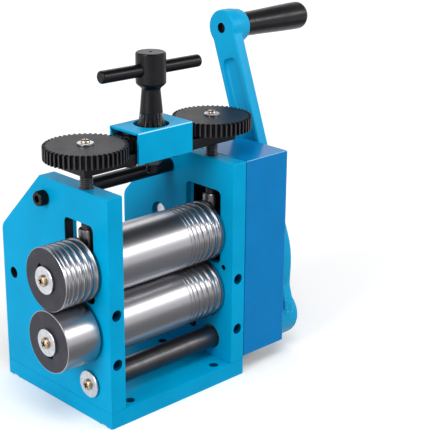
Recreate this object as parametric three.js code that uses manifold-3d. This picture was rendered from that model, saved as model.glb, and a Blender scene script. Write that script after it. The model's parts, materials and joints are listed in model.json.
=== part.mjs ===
import * as THREE from 'three';
import { mergeVertices } from 'three/addons/utils/BufferGeometryUtils.js';
import Module from 'manifold-3d';

// Jewellers rolling mill, in millimetres. +Z is up, +X runs along the rollers towards the crank and
// -Y is the front, where the stock is fed in. The origin is the middle of the base's underside.

// Frame
const plateGap = 80;
const plateThickness = 10;
const frameDepth = 96;
const bridgeHeight = 18;
const baseThickness = 9.5;
const chamferDepth = 38;
const chamferHeight = 36.5;
const benchHoleDiameter = 5.5;
const benchHoleSpan = 64;
const benchHoleFrontInset = 6.5;
const benchHolePitch = 45;
const baseScrewDiameter = 6;
const baseScrewHeadDiameter = 11;
const baseScrewInset = 7;
const baseScrewReach = 8;

// Holes in the side plates
const edgeHoleDiameter = 6.8;
const edgeHoleDepth = 10.5;
const leftEdgeHoleHeights = [37.2, 65.9];
const rightEdgeHoleHeights = [30.5, 61.8];
const rearHoleDiameter = 6.6;
const rearHoleInset = 9.4;
const rearHoleHeight = 66.4;
const smallHoleDiameter = 3.2;
const smallHoleInset = 7.4;
const smallHoleHeight = 68.2;

// Rollers and their bearings
const rollerInset = 23;
const rollerDiameter = 35;
const rollerBevel = 0.5;
const rollerEndPlay = 0.5;
const lowerRollerHeight = 52;
const rollerGap = 0.5;
const journalDiameter = 18;
const spigotDiameter = 14;
const rollerBushDiameter = 24;
const windowInnerWidth = 28.7;
const windowOuterWidth = 24.4;
const windowStep = 3.8;
const windowShift = 1.6;
const windowRoom = 15;
const springRoom = 7;
const windowCorner = 3;
const blockHeight = 22;
const springWire = 1.2;
const springTurns = 4;
const springMeanDiameter = 7.2;

// Ring grooves, as groove radii from left to right
const rollerGrooves = [0.5, 0.75, 1, 1.25, 1.5, 1.75, 2];
const rollerGrooveLand = 1.1;
const sideRollerGrooves = [0.8, 1.1, 1.4, 1.6, 1.8, 2];
const sideRollerLand = 0.6;
const grooveDepthShare = 0.75;
const grooveSteps = 3;

// Side rollers outside the left plate
const sideRollerLength = 21.5;
const sideRollerPlay = 1.7;
const keyWidth = 4;
const keyReach = 9.2;
const keyDepth = 5.2;
const upperKeyAngle = 47;
const lowerKeyAngle = -99;
const endWasherDiameter = 15.2;
const endWasherThickness = 1.2;
const endScrewHeadDiameter = 6.4;
const endScrewHeadHeight = 1.8;
const endScrewDiameter = 4;
const endScrewReach = 11;

// Upper tie rod
const tieRodDiameter = 8.4;
const tieRodBehindChamfer = 4.5;
const tieRodDrop = 11.5;
const tieScrewDiameter = 5;
const tieScrewHeadDiameter = 8.5;
const tieScrewHeadHeight = 5;
const tieScrewSocket = 4;
const tieScrewReach = 9;

// Drive shaft, gears and their case
const driveShaftDiameter = 13;
const driveJournalDiameter = 11;
const driveEndDiameter = 8;
const driveBushDiameter = 14;
const driveGearModule = 1.5;
const drivePinionTeeth = 10;
const driveIdlerTeeth = 12;
const drivenGearTeeth = 25;
const driveShaftDrop = 30.2;
const driveShaftForward = 5.5;
const driveGearStart = 15.6;
const driveGearWidth = 9.6;
const rollerGearTeeth = 12;
const rollerGearStart = 2;
const rollerGearWidth = 12;
const idlerStudDiameter = 7;
const spigotFlat = 5.6;
const caseDepth = 34.5;
const caseWall = 1.8;
const caseBottom = 11.3;
const caseBushDiameter = 14;
const caseBushReach = 0.8;
const coverBoltDiameter = 10.4;
const coverBoltHoleDiameter = 12;
const coverBoltHeadDiameter = 14;
const coverBoltHeadHeight = 2;
const coverBoltDrop = 43.5;
const coverBoltRearInset = 32.6;

// Crank and grip
const crankRise = 171.8;
const crankRun = 42.8;
const crankKnee = 38;
const crankKneeRun = -5.2;
const crankClearance = 1.1;
const hubDiameter = 30;
const hubLength = 15.2;
const armOffset = 2.4;
const armThickness = 7.5;
const armWidth = 19;
const armFootWidth = 22.5;
const armRecess = 1.6;
const armRecessWidth = 11;
const armRecessStart = 25;
const crankBossDiameter = 21.6;
const crankBossLength = 15.3;
const gripBoltDiameter = 6;
const gripBoltRecess = 3;
const gripPlay = 0.5;
const gripLength = 54.4;
const gripRootDiameter = 14.4;
const gripEndDiameter = 16.1;

// Height adjustment
const screwDiameter = 7;
const screwNeckDiameter = 6;
const thrustCollarDiameter = 10;
const thrustCollarHeight = 10.8;
const linkPlateRise = 9.5;
const linkPlateThickness = 6;
const linkPlateDepth = 20.4;
const linkPlateOverhang = 9;
const adjustGearGap = 0.5;
const adjustGearWidth = 7.5;
const adjustGearTeeth = 48;
const adjustIdlerTeeth = 18;
const adjustPinionTeeth = 16;
const gearWasherDiameter = 8.8;
const gearWasherThickness = 1;
const gearScrewHeadDiameter = 4.8;
const gearScrewHeadHeight = 1.6;
const gearScrewDiameter = 3;
const gearScrewReach = 7;
const idlerPinDiameter = 5;
const idlerPinHeadDiameter = 7.4;
const idlerPinHeadHeight = 1.4;
const idlerPinTail = 4.6;
const bracketWidth = 38.4;
const bracketSheet = 1.5;
const bracketHeight = 17.2;
const bracketHoleDiameter = 19.4;

// T-handle
const spindleHeadDiameter = 16.4;
const spindleHeadHeight = 19.2;
const spindleHeadBevel = 2.4;
const spindleRise = 56.2;
const spindleNeckDiameter = 10.2;
const spindleRootDiameter = 11.6;
const pinionToothRise = 16;
const pinionToothRunOut = 5;
const spindleJournalDiameter = 8;
const spindleEndDiameter = 5.8;
const spindleEndDrop = 10.4;
const spindleNutWidth = 10;
const spindleNutThickness = 5;
const barDiameter = 6.9;
const barLength = 67;
const barDrop = 9.2;
const barTurn = 2.2;
const barBevel = 0.6;

// Clearances
const seatGap = 0.3;
const fitGap = 0.1;
const runningGap = 0.08;
const slideGap = 0.15;
const toothPlay = 0.16;

// Number of sides of round pieces
const fineSides = 24;
const mediumSides = 16;
const smallSides = 10;

// Sizes worked out from the ones above
const plateInner = plateGap / 2;
const plateOuter = plateInner + plateThickness;
const plateMiddle = plateInner + plateThickness / 2;
const frontY = -frameDepth / 2;
const rearY = frameDepth / 2;
const rollerY = frontY + rollerInset;
const windowY = rollerY + windowShift;
const upperRollerHeight = lowerRollerHeight + rollerDiameter + rollerGap;
const rollerEnd = plateInner - rollerEndPlay;
const sideRollerStart = plateOuter + sideRollerPlay;
const sideRollerEnd = sideRollerStart + sideRollerLength;
const caseOuter = plateOuter + caseDepth;
const shaftY = rollerY - driveShaftForward;
const shaftHeight = lowerRollerHeight - driveShaftDrop;
const crankInner = caseOuter + crankClearance;
const blockBottom = upperRollerHeight - blockHeight / 2;
const blockTop = upperRollerHeight + blockHeight / 2;
const windowBottom = blockBottom - springRoom;
const windowTop = blockTop + windowRoom;
const frameHeight = windowTop + bridgeHeight;
const tieRodY = rearY - chamferDepth - tieRodBehindChamfer;
const tieRodHeight = frameHeight - tieRodDrop;
const coverBoltY = rearY - coverBoltRearInset;
const coverBoltHeight = frameHeight - coverBoltDrop;
const adjustModule = (2 * plateMiddle) / (adjustGearTeeth + 2 * adjustIdlerTeeth + adjustPinionTeeth);
const adjustIdlerX = (adjustModule * (adjustIdlerTeeth + adjustPinionTeeth)) / 2;
const linkPlateHeight = frameHeight + linkPlateRise;
const linkPlateTop = linkPlateHeight + linkPlateThickness;
const adjustGearHeight = linkPlateTop + adjustGearGap;
const pinionToothTop = linkPlateHeight + pinionToothRise;
const spindleTop = linkPlateHeight + spindleRise;
const spindleEndHeight = linkPlateHeight - spindleEndDrop;

// Finishes
function finish(color, roughness, metalness) {
  return new THREE.MeshStandardMaterial({ color, roughness, metalness, flatShading: true });
}
const bluePaint = finish(0x0098d6, 0.4, 0.1);
const blackOxide = finish(0x2b2a2d, 0.45, 0.6);
const polishedSteel = finish(0xc9c9cf, 0.2, 1);
const darkSteel = finish(0x4a4850, 0.5, 0.8);
const zinc = finish(0xc4ccd2, 0.35, 0.9);
const brassFinish = finish(0xc9a86a, 0.3, 1);
const bronze = finish(0xa8783c, 0.45, 0.9);
const springSteel = finish(0x8d8f94, 0.35, 1);
const blackPlastic = finish(0x1a1a1c, 0.35, 0);

// Solid modelling
const wasm = await Module();
wasm.setup();

function toSolid(geometry) {
  const bare = geometry.clone();
  for (const name of Object.keys(bare.attributes)) {
    if (name !== 'position') bare.deleteAttribute(name);
  }
  const merged = mergeVertices(bare, 1e-4);
  const position = merged.attributes.position;
  const corner = [new THREE.Vector3(), new THREE.Vector3(), new THREE.Vector3()];
  const triangles = [];
  let volume = 0;
  for (let i = 0; i < merged.index.count; i += 3) {
    const ids = [0, 1, 2].map((k) => merged.index.getX(i + k));
    if (ids[0] === ids[1] || ids[1] === ids[2] || ids[2] === ids[0]) continue;
    ids.forEach((id, k) => corner[k].fromBufferAttribute(position, id));
    volume += corner[0].dot(corner[1].clone().cross(corner[2]));
    triangles.push(ids);
  }
  const outward = volume > 0 ? triangles : triangles.map(([a, b, c]) => [a, c, b]);
  const mesh = new wasm.Mesh({
    numProp: 3,
    vertProperties: new Float32Array(position.array),
    triVerts: new Uint32Array(outward.flat()),
  });
  return new wasm.Manifold(mesh);
}

function toGeometry(solid) {
  const mesh = solid.getMesh();
  const points = new Float32Array(mesh.numVert * 3);
  for (let i = 0; i < mesh.numVert; i += 1) {
    for (let k = 0; k < 3; k += 1) points[3 * i + k] = mesh.vertProperties[i * mesh.numProp + k];
  }
  const geometry = new THREE.BufferGeometry();
  geometry.setAttribute('position', new THREE.BufferAttribute(points, 3));
  geometry.setIndex(new THREE.BufferAttribute(new Uint32Array(mesh.triVerts), 1));
  geometry.computeVertexNormals();
  return geometry;
}

// The first two columns say where an outline's own x and y go, the third where its depth goes.
const outlineFrames = {
  x: [new THREE.Vector3(0, 1, 0), new THREE.Vector3(0, 0, 1), new THREE.Vector3(1, 0, 0)],
  y: [new THREE.Vector3(1, 0, 0), new THREE.Vector3(0, 0, 1), new THREE.Vector3(0, 1, 0)],
  z: [new THREE.Vector3(1, 0, 0), new THREE.Vector3(0, 1, 0), new THREE.Vector3(0, 0, 1)],
};

function prism(axis, outline, from, to) {
  const geometry = new THREE.ExtrudeGeometry(outline, {
    depth: to - from,
    bevelEnabled: false,
    curveSegments: 4,
  });
  geometry.translate(0, 0, from);
  geometry.applyMatrix4(new THREE.Matrix4().makeBasis(...outlineFrames[axis]));
  return toSolid(geometry);
}

function box(x0, x1, y0, y1, z0, z1) {
  const geometry = new THREE.BoxGeometry(x1 - x0, y1 - y0, z1 - z0);
  geometry.translate((x0 + x1) / 2, (y0 + y1) / 2, (z0 + z1) / 2);
  return toSolid(geometry);
}

// A profile is a list of [place along the axis, radius] that starts and ends on the axis.
function revolve(axis, profile, sides = fineSides) {
  const points = profile.map(([along, radius]) => new THREE.Vector2(radius, along));
  const geometry = new THREE.LatheGeometry(points, sides);
  const [first, second, depth] = outlineFrames[axis];
  geometry.applyMatrix4(new THREE.Matrix4().makeBasis(first, depth, second));
  return toSolid(geometry);
}

function round(axis, diameter, from, to, sides = mediumSides) {
  const radius = diameter / 2;
  return revolve(axis, [[from, 0], [from, radius], [to, radius], [to, 0]], sides);
}

// A round hole's flats stand on the stated diameter, so that a turning shaft clears them.
function hole(axis, diameter, from, to, sides = mediumSides) {
  return round(axis, diameter / Math.cos(Math.PI / sides), from, to, sides);
}

function bevelled(axis, diameter, from, to, bevel, sides = mediumSides) {
  const radius = diameter / 2;
  return revolve(axis, [
    [from, 0],
    [from, radius - bevel],
    [from + bevel, radius],
    [to - bevel, radius],
    [to, radius - bevel],
    [to, 0],
  ], sides);
}

function cut(solid, ...tools) {
  return tools.reduce((rest, tool) => rest.subtract(tool), solid);
}

function join(...solids) {
  return solids.reduce((all, solid) => all.add(solid));
}

function polygon(points) {
  return new THREE.Shape(points.map(([x, y]) => new THREE.Vector2(x, y)));
}

function roundedRectangle(x0, x1, y0, y1, radius) {
  const shape = new THREE.Shape();
  shape.moveTo(x0 + radius, y0);
  shape.lineTo(x1 - radius, y0);
  shape.absarc(x1 - radius, y0 + radius, radius, -Math.PI / 2, 0);
  shape.lineTo(x1, y1 - radius);
  shape.absarc(x1 - radius, y1 - radius, radius, 0, Math.PI / 2);
  shape.lineTo(x0 + radius, y1);
  shape.absarc(x0 + radius, y1 - radius, radius, Math.PI / 2, Math.PI);
  shape.lineTo(x0, y0 + radius);
  shape.absarc(x0 + radius, y0 + radius, radius, Math.PI, 1.5 * Math.PI);
  return shape;
}

// Gear teeth with involute flanks
function involute(radius, baseRadius) {
  const angle = Math.acos(Math.min(1, baseRadius / radius));
  return Math.tan(angle) - angle;
}

function gearOutline({
  module, teeth, addendum = module, dedendum = 1.25 * module, phase = 0, play = toothPlay, flankSteps = 1,
}) {
  const pitchRadius = (module * teeth) / 2;
  const baseRadius = pitchRadius * Math.cos(THREE.MathUtils.degToRad(20));
  const tipRadius = pitchRadius + addendum;
  const rootRadius = pitchRadius - dedendum;
  const halfPitch = Math.PI / teeth;
  const flankFoot = Math.max(rootRadius, baseRadius);
  const flank = rootRadius < flankFoot ? [rootRadius] : [];
  for (let i = 0; i <= flankSteps; i += 1) {
    flank.push(flankFoot + ((tipRadius - flankFoot) * i) / flankSteps);
  }
  const halfAngle = (radius) => halfPitch / 2 - play / (2 * pitchRadius)
    + involute(pitchRadius, baseRadius) - involute(Math.max(radius, baseRadius), baseRadius);
  const points = [];
  for (let tooth = 0; tooth < teeth; tooth += 1) {
    const centre = phase + 2 * halfPitch * tooth;
    const rising = flank.map((radius) => [radius, centre - halfAngle(radius)]);
    const falling = flank.map((radius) => [radius, centre + halfAngle(radius)]).reverse();
    for (const [radius, angle] of [...rising, ...falling]) {
      points.push([radius * Math.cos(angle), radius * Math.sin(angle)]);
    }
  }
  return polygon(points);
}

// Half-round grooves side by side, as points on a roller's profile
function grooves(start, radii, land, rollerRadius) {
  const points = [];
  let x = start;
  for (const radius of radii) {
    const centre = x + radius;
    for (let i = 0; i <= grooveSteps; i += 1) {
      const angle = (Math.PI * i) / grooveSteps;
      const depth = i % grooveSteps === 0 ? 0 : radius * grooveDepthShare * Math.sin(angle);
      points.push([centre - radius * Math.cos(angle), rollerRadius - depth]);
    }
    x += 2 * radius + land;
  }
  return points;
}

function grooveSpan(radii, land) {
  return radii.reduce((sum, radius) => sum + 2 * radius + land, 0);
}

// Scene graph
const mill = new THREE.Group();

function unit(x = 0, y = 0, z = 0, parent = mill) {
  const group = new THREE.Group();
  group.position.set(x, y, z);
  parent.add(group);
  return group;
}

function piece(parent, name, solid, material, place = [0, 0, 0]) {
  const mesh = new THREE.Mesh(toGeometry(solid), material.clone());
  mesh.name = name;
  mesh.position.set(...place);
  parent.add(mesh);
  return mesh;
}

const sides = [
  { name: 'left', sign: -1, edgeHoles: leftEdgeHoleHeights },
  { name: 'right', sign: 1, edgeHoles: rightEdgeHoleHeights },
];

// Base plate and its screws
const baseScrewPlaces = sides.flatMap(({ sign }) => [-1, 1].map(
  (end) => [sign * plateMiddle, end * (frameDepth / 2 - baseScrewInset)],
));
const countersinkDepth = (baseScrewHeadDiameter - baseScrewDiameter) / 2;

function makeBasePlate(frame) {
  let base = box(-plateOuter, plateOuter, frontY, rearY, 0, baseThickness);
  for (const x of [-benchHoleSpan / 2, benchHoleSpan / 2]) {
    for (const row of [0, 1]) {
      const y = frontY + benchHoleFrontInset + row * benchHolePitch;
      base = cut(base, hole('z', benchHoleDiameter, -1, baseThickness + 1, smallSides).translate([x, y, 0]));
    }
  }
  const headRadius = baseScrewHeadDiameter / 2 + fitGap;
  const holeRadius = baseScrewDiameter / 2 + fitGap;
  const screwHole = revolve('z', [
    [-1, 0],
    [-1, headRadius],
    [0, headRadius],
    [countersinkDepth, holeRadius],
    [baseThickness + 1, holeRadius],
    [baseThickness + 1, 0],
  ], smallSides);
  for (const [x, y] of baseScrewPlaces) base = cut(base, screwHole.translate([x, y, 0]));
  piece(frame, 'base_plate', base, bluePaint);

  const screw = revolve('z', [
    [0.4, 0],
    [0.4, baseScrewHeadDiameter / 2 - 0.4],
    [countersinkDepth, baseScrewDiameter / 2],
    [baseThickness + baseScrewReach, baseScrewDiameter / 2],
    [baseThickness + baseScrewReach, 0],
  ], smallSides);
  baseScrewPlaces.forEach(([x, y], i) => {
    piece(frame, `base_screw_${i + 1}`, screw, zinc, [x, y, 0]);
  });
}

// Side plates
const idlerPlace = driveIdlerPlace();

function plateOutline() {
  return polygon([
    [frontY, baseThickness],
    [rearY, baseThickness],
    [rearY, frameHeight - chamferHeight],
    [rearY - chamferDepth, frameHeight],
    [frontY, frameHeight],
  ]);
}

// The idler stands behind the line from the drive shaft to the lower roller, in mesh with both.
function driveIdlerPlace() {
  const span = Math.hypot(driveShaftForward, driveShaftDrop);
  const toShaft = (driveGearModule * (drivePinionTeeth + driveIdlerTeeth)) / 2;
  const toRoller = (driveGearModule * (driveIdlerTeeth + drivenGearTeeth)) / 2;
  const along = (toShaft ** 2 - toRoller ** 2 + span ** 2) / (2 * span);
  const aside = Math.sqrt(toShaft ** 2 - along ** 2);
  const direction = new THREE.Vector2(driveShaftForward, driveShaftDrop).normalize();
  return {
    y: shaftY + direction.x * along + direction.y * aside,
    z: shaftHeight + direction.y * along - direction.x * aside,
  };
}

// The bearing blocks' window is wider on the inside, where it holds the blocks' flanges.
function windowCut(width, from, to) {
  const outline = roundedRectangle(windowY - width / 2, windowY + width / 2, windowBottom, windowTop, windowCorner);
  return prism('x', outline, Math.min(from, to), Math.max(from, to));
}

function makeSidePlate(frame, { name, sign, edgeHoles }) {
  const inner = Math.min(sign * plateInner, sign * plateOuter);
  const outer = inner + plateThickness;
  const through = [inner - 1, outer + 1];
  let plate = cut(
    prism('x', plateOutline(), inner, outer),
    windowCut(windowOuterWidth, ...through),
    windowCut(windowInnerWidth, sign * (plateInner - 1), sign * (plateInner + windowStep)),
    hole('x', rollerBushDiameter + 2 * fitGap, ...through).translate([0, rollerY, lowerRollerHeight]),
    hole('x', driveBushDiameter + 2 * fitGap, ...through).translate([0, shaftY, shaftHeight]),
    hole('x', tieScrewDiameter + 2 * fitGap, ...through, smallSides).translate([0, tieRodY, tieRodHeight]),
    hole('z', screwDiameter + 2 * slideGap, windowTop - 1, frameHeight + 1, mediumSides)
      .translate([sign * plateMiddle, rollerY, 0]),
  );
  for (const height of edgeHoles) {
    plate = cut(plate, hole('y', edgeHoleDiameter, frontY - 1, frontY + edgeHoleDepth, smallSides)
      .translate([sign * plateMiddle, 0, height]));
  }
  const screwHole = hole(
    'z', baseScrewDiameter + 2 * fitGap, baseThickness - 1, baseThickness + baseScrewReach + 0.5, smallSides,
  );
  for (const [x, y] of baseScrewPlaces) {
    if (Math.sign(x) === sign) plate = cut(plate, screwHole.translate([x, y, 0]));
  }
  if (name === 'left') {
    plate = cut(plate, hole('x', rearHoleDiameter, ...through, smallSides)
      .translate([0, rearY - rearHoleInset, rearHoleHeight]));
  } else {
    plate = cut(
      plate,
      hole('x', coverBoltHoleDiameter, ...through).translate([0, coverBoltY, coverBoltHeight]),
      hole('x', smallHoleDiameter, ...through, smallSides).translate([0, frontY + smallHoleInset, smallHoleHeight]),
      hole('x', idlerStudDiameter + 2 * fitGap, ...through, smallSides).translate([0, idlerPlace.y, idlerPlace.z]),
    );
  }
  piece(frame, `side_plate_${name}`, plate, bluePaint);
}

function makeBush(frame, name, sign, outside, inside, y, z) {
  const from = Math.min(sign * plateInner, sign * plateOuter);
  const ring = cut(
    round('x', outside, from, from + plateThickness),
    hole('x', inside + 2 * runningGap, from - 1, from + plateThickness + 1),
  );
  piece(frame, name, ring, bronze, [0, y, z]);
}

// Upper tie rod with a socket-head screw in each end
function makeTieRod(frame) {
  const line = unit(0, tieRodY, tieRodHeight, frame);
  const end = plateInner - seatGap;
  const threadHole = (sign) => {
    const ends = [sign * (end - tieScrewReach - 0.5), sign * (end + 1)].sort((a, b) => a - b);
    return hole('x', tieScrewDiameter + 2 * fitGap, ...ends, smallSides);
  };
  piece(line, 'upper_tie_rod', cut(round('x', tieRodDiameter, -end, end), threadHole(-1), threadHole(1)), blackOxide);
  const head = plateOuter + seatGap;
  const screw = cut(
    revolve('x', [
      [end - tieScrewReach, 0],
      [end - tieScrewReach, tieScrewDiameter / 2],
      [head, tieScrewDiameter / 2],
      [head, tieScrewHeadDiameter / 2],
      [head + tieScrewHeadHeight - 0.4, tieScrewHeadDiameter / 2],
      [head + tieScrewHeadHeight, tieScrewHeadDiameter / 2 - 0.4],
      [head + tieScrewHeadHeight, 0],
    ], smallSides),
    round('x', tieScrewSocket / Math.cos(Math.PI / 6), head + tieScrewHeadHeight / 2, head + tieScrewHeadHeight + 1, 6),
  );
  piece(line, 'tie_screw_right', screw, blackOxide);
  piece(line, 'tie_screw_left', screw.mirror([1, 0, 0]), blackOxide);
}

// Gear case, a folded cover open towards the plate and at the bottom
function makeGearCase(frame) {
  const start = plateOuter + seatGap;
  const outline = (inset, low) => polygon([
    [frontY + inset, low],
    [rearY - inset, low],
    [rearY - inset, frameHeight - chamferHeight - inset * 0.4],
    [rearY - chamferDepth - inset * 0.4, frameHeight - inset],
    [frontY + inset, frameHeight - inset],
  ]);
  const cover = cut(
    prism('x', outline(0, caseBottom), start, caseOuter),
    prism('x', outline(caseWall, caseBottom - 1), start - 1, caseOuter - caseWall),
    hole('x', caseBushDiameter + 2 * fitGap, start, caseOuter + 1).translate([0, shaftY, shaftHeight]),
    hole('x', coverBoltDiameter + 2 * fitGap, start, caseOuter + 1).translate([0, coverBoltY, coverBoltHeight]),
  );
  piece(frame, 'gear_case', cover, bluePaint);

  const flange = 2;
  const bush = cut(
    revolve('x', [
      [caseOuter - caseWall - seatGap - flange, 0],
      [caseOuter - caseWall - seatGap - flange, caseBushDiameter / 2 + flange],
      [caseOuter - caseWall - seatGap, caseBushDiameter / 2 + flange],
      [caseOuter - caseWall - seatGap, caseBushDiameter / 2],
      [caseOuter + caseBushReach, caseBushDiameter / 2],
      [caseOuter + caseBushReach, 0],
    ], mediumSides),
    hole('x', driveEndDiameter + 2 * runningGap, start, caseOuter + 2),
  );
  piece(frame, 'case_bush', bush, bronze, [0, shaftY, shaftHeight]);

  const bolt = bevelledBolt(plateInner + 2.5, caseOuter + seatGap);
  piece(frame, 'cover_bolt', bolt, zinc, [0, coverBoltY, coverBoltHeight]);
}

function bevelledBolt(tip, head) {
  return revolve('x', [
    [tip, 0],
    [tip, coverBoltDiameter / 2 - 0.6],
    [tip + 0.6, coverBoltDiameter / 2],
    [head, coverBoltDiameter / 2],
    [head, coverBoltHeadDiameter / 2],
    [head + coverBoltHeadHeight - 0.6, coverBoltHeadDiameter / 2],
    [head + coverBoltHeadHeight, coverBoltHeadDiameter / 2 - 0.6],
    [head + coverBoltHeadHeight, 0],
  ], mediumSides);
}

// Drive idler on its stud in the right plate
function makeDriveIdler(frame) {
  const gearStart = plateOuter + driveGearStart;
  const gearEnd = gearStart + driveGearWidth;
  const place = [0, idlerPlace.y, idlerPlace.z];
  const stud = revolve('x', [
    [plateInner, 0],
    [plateInner, idlerStudDiameter / 2],
    [plateOuter + seatGap, idlerStudDiameter / 2],
    [plateOuter + seatGap, idlerStudDiameter / 2 + 2],
    [gearStart - seatGap, idlerStudDiameter / 2 + 2],
    [gearStart - seatGap, idlerStudDiameter / 2],
    [gearEnd + seatGap, idlerStudDiameter / 2],
    [gearEnd + seatGap, idlerStudDiameter / 2 + 1.5],
    [gearEnd + seatGap + 1.5, idlerStudDiameter / 2 + 1.5],
    [gearEnd + seatGap + 1.5, 0],
  ], smallSides);
  piece(frame, 'drive_idler_stud', stud, darkSteel, place);
  const toShaft = Math.atan2(shaftHeight - idlerPlace.z, shaftY - idlerPlace.y);
  const outline = gearOutline({
    module: driveGearModule,
    teeth: driveIdlerTeeth,
    phase: toShaft,
  });
  const gear = cut(
    prism('x', outline, gearStart, gearEnd),
    hole('x', idlerStudDiameter + 2 * runningGap, gearStart - 1, gearEnd + 1, smallSides),
  );
  piece(unit(0, idlerPlace.y, idlerPlace.z), 'drive_idler_gear', gear, darkSteel);
}

// Rollers, each with its side roller and gears
function spigotSection(from, to) {
  const flat = box(from - 1, to + 1, -spigotDiameter, spigotDiameter, -spigotFlat, spigotFlat);
  return round('x', spigotDiameter, from, to).intersect(flat);
}

function spigotBore(from, to) {
  const flat = box(from - 1, to + 1, -spigotDiameter, spigotDiameter, -spigotFlat - fitGap, spigotFlat + fitGap);
  return hole('x', spigotDiameter + 2 * fitGap, from, to).intersect(flat);
}

function keySlot(angle, low, high, from, to, width = keyWidth) {
  return box(from, to, low, high, -width / 2, width / 2).rotate([angle, 0, 0]);
}

function rollerProfile() {
  const radius = rollerDiameter / 2;
  const groove = grooves(
    rollerEnd - 1.2 - grooveSpan(rollerGrooves, rollerGrooveLand), rollerGrooves, rollerGrooveLand, radius,
  );
  return [
    [-sideRollerEnd + 0.2, 0],
    [-sideRollerEnd + 0.2, spigotDiameter / 2],
    [-plateOuter - seatGap, spigotDiameter / 2],
    [-plateOuter - seatGap, journalDiameter / 2],
    [-rollerEnd, journalDiameter / 2],
    [-rollerEnd, radius - rollerBevel],
    [-rollerEnd + rollerBevel, radius],
    ...groove,
    [rollerEnd - rollerBevel, radius],
    [rollerEnd, radius - rollerBevel],
    [rollerEnd, journalDiameter / 2],
    [plateOuter + seatGap, journalDiameter / 2],
    [plateOuter + seatGap, 0],
  ];
}

function makeRoller(parent, name, keyAngle, spigotEnd) {
  const roller = cut(
    join(revolve('x', rollerProfile()), spigotSection(plateOuter, spigotEnd)),
    keySlot(keyAngle, keyDepth - fitGap, keyReach, -sideRollerEnd - 1, -sideRollerStart, keyWidth + 2 * fitGap),
    hole('x', endScrewDiameter + 2 * fitGap, -sideRollerEnd - 1, -sideRollerEnd + endScrewReach + 1, smallSides),
  );
  piece(parent, name, roller, polishedSteel);
}

function makeSideRoller(parent, name, keyAngle, grooved) {
  const radius = rollerDiameter / 2;
  const profile = [
    [-sideRollerEnd, 0],
    [-sideRollerEnd, radius - rollerBevel],
    [-sideRollerEnd + rollerBevel, radius],
  ];
  if (grooved) {
    profile.push(...grooves(-sideRollerEnd + 0.9, sideRollerGrooves, sideRollerLand, radius));
  }
  profile.push(
    [-sideRollerStart - rollerBevel / 2, radius],
    [-sideRollerStart, radius - rollerBevel],
    [-sideRollerStart, 0],
  );
  const ends = [-sideRollerEnd - 1, -sideRollerStart + 1];
  const roller = cut(
    revolve('x', profile),
    hole('x', spigotDiameter + 2 * fitGap, ...ends),
    keySlot(keyAngle, 0, keyReach + fitGap, ...ends, keyWidth + 2 * fitGap),
  );
  piece(parent, name, roller, polishedSteel);
}

function makeEndFastening(parent, prefix, keyAngle) {
  const key = keySlot(keyAngle, keyDepth, keyReach, -sideRollerEnd + 0.6, -sideRollerStart - 0.6);
  piece(parent, `${prefix}_side_key`, key, darkSteel);
  makeEndScrew(parent, `${prefix}_side`, -sideRollerEnd);
}

// Washer and pan-head screw on the left end of a shaft, at x = face
function makeEndScrew(parent, prefix, face) {
  const washerFace = face - seatGap;
  const headFace = washerFace - endWasherThickness;
  const washer = cut(
    round('x', endWasherDiameter, headFace, washerFace),
    hole('x', endScrewDiameter + 2 * fitGap, headFace - 1, washerFace + 1, smallSides),
  );
  piece(parent, `${prefix}_washer`, washer, zinc);
  const headRadius = endScrewHeadDiameter / 2;
  const seat = headFace - fitGap;
  const screw = revolve('x', [
    [seat - endScrewHeadHeight, 0],
    [seat - endScrewHeadHeight, headRadius * 0.55],
    [seat - endScrewHeadHeight * 0.7, headRadius * 0.88],
    [seat - endScrewHeadHeight * 0.3, headRadius],
    [seat, headRadius],
    [seat, endScrewDiameter / 2],
    [face + endScrewReach, endScrewDiameter / 2],
    [face + endScrewReach, 0],
  ], smallSides);
  piece(parent, `${prefix}_screw`, screw, brassFinish);
}

// Long teeth keep the roller gears in mesh while the rollers part.
function rollerGear(phase) {
  const module = (upperRollerHeight - lowerRollerHeight) / rollerGearTeeth;
  const outline = gearOutline({
    module,
    teeth: rollerGearTeeth,
    addendum: 1.12 * module,
    dedendum: 1.42 * module,
    phase,
    play: 1.1,
    flankSteps: 2,
  });
  const from = plateOuter + rollerGearStart;
  const to = from + rollerGearWidth;
  return cut(prism('x', outline, from, to), spigotBore(from - 1, to + 1));
}

function makeRollers() {
  const toIdler = Math.atan2(idlerPlace.z - lowerRollerHeight, idlerPlace.y - rollerY);
  const drivenStart = plateOuter + driveGearStart;
  const drivenEnd = drivenStart + driveGearWidth;
  const lower = unit(0, rollerY, lowerRollerHeight);
  makeRoller(lower, 'lower_roller', lowerKeyAngle, drivenEnd + 1);
  makeSideRoller(lower, 'lower_side_roller', lowerKeyAngle, false);
  makeEndFastening(lower, 'lower', lowerKeyAngle);
  piece(lower, 'lower_roller_gear', rollerGear(Math.PI / 2), darkSteel);
  const drivenOutline = gearOutline({
    module: driveGearModule,
    teeth: drivenGearTeeth,
    phase: toIdler + drivenPhase(),
  });
  const driven = cut(prism('x', drivenOutline, drivenStart, drivenEnd), spigotBore(drivenStart - 1, drivenEnd + 1));
  piece(lower, 'driven_gear', driven, darkSteel);

  const upper = unit(0, rollerY, upperRollerHeight);
  makeRoller(upper, 'upper_roller', upperKeyAngle, plateOuter + rollerGearStart + rollerGearWidth + 1);
  makeSideRoller(upper, 'upper_side_roller', upperKeyAngle, true);
  makeEndFastening(upper, 'upper', upperKeyAngle);
  piece(upper, 'upper_roller_gear', rollerGear(-Math.PI / 2 + Math.PI / rollerGearTeeth), darkSteel);
}

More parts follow.
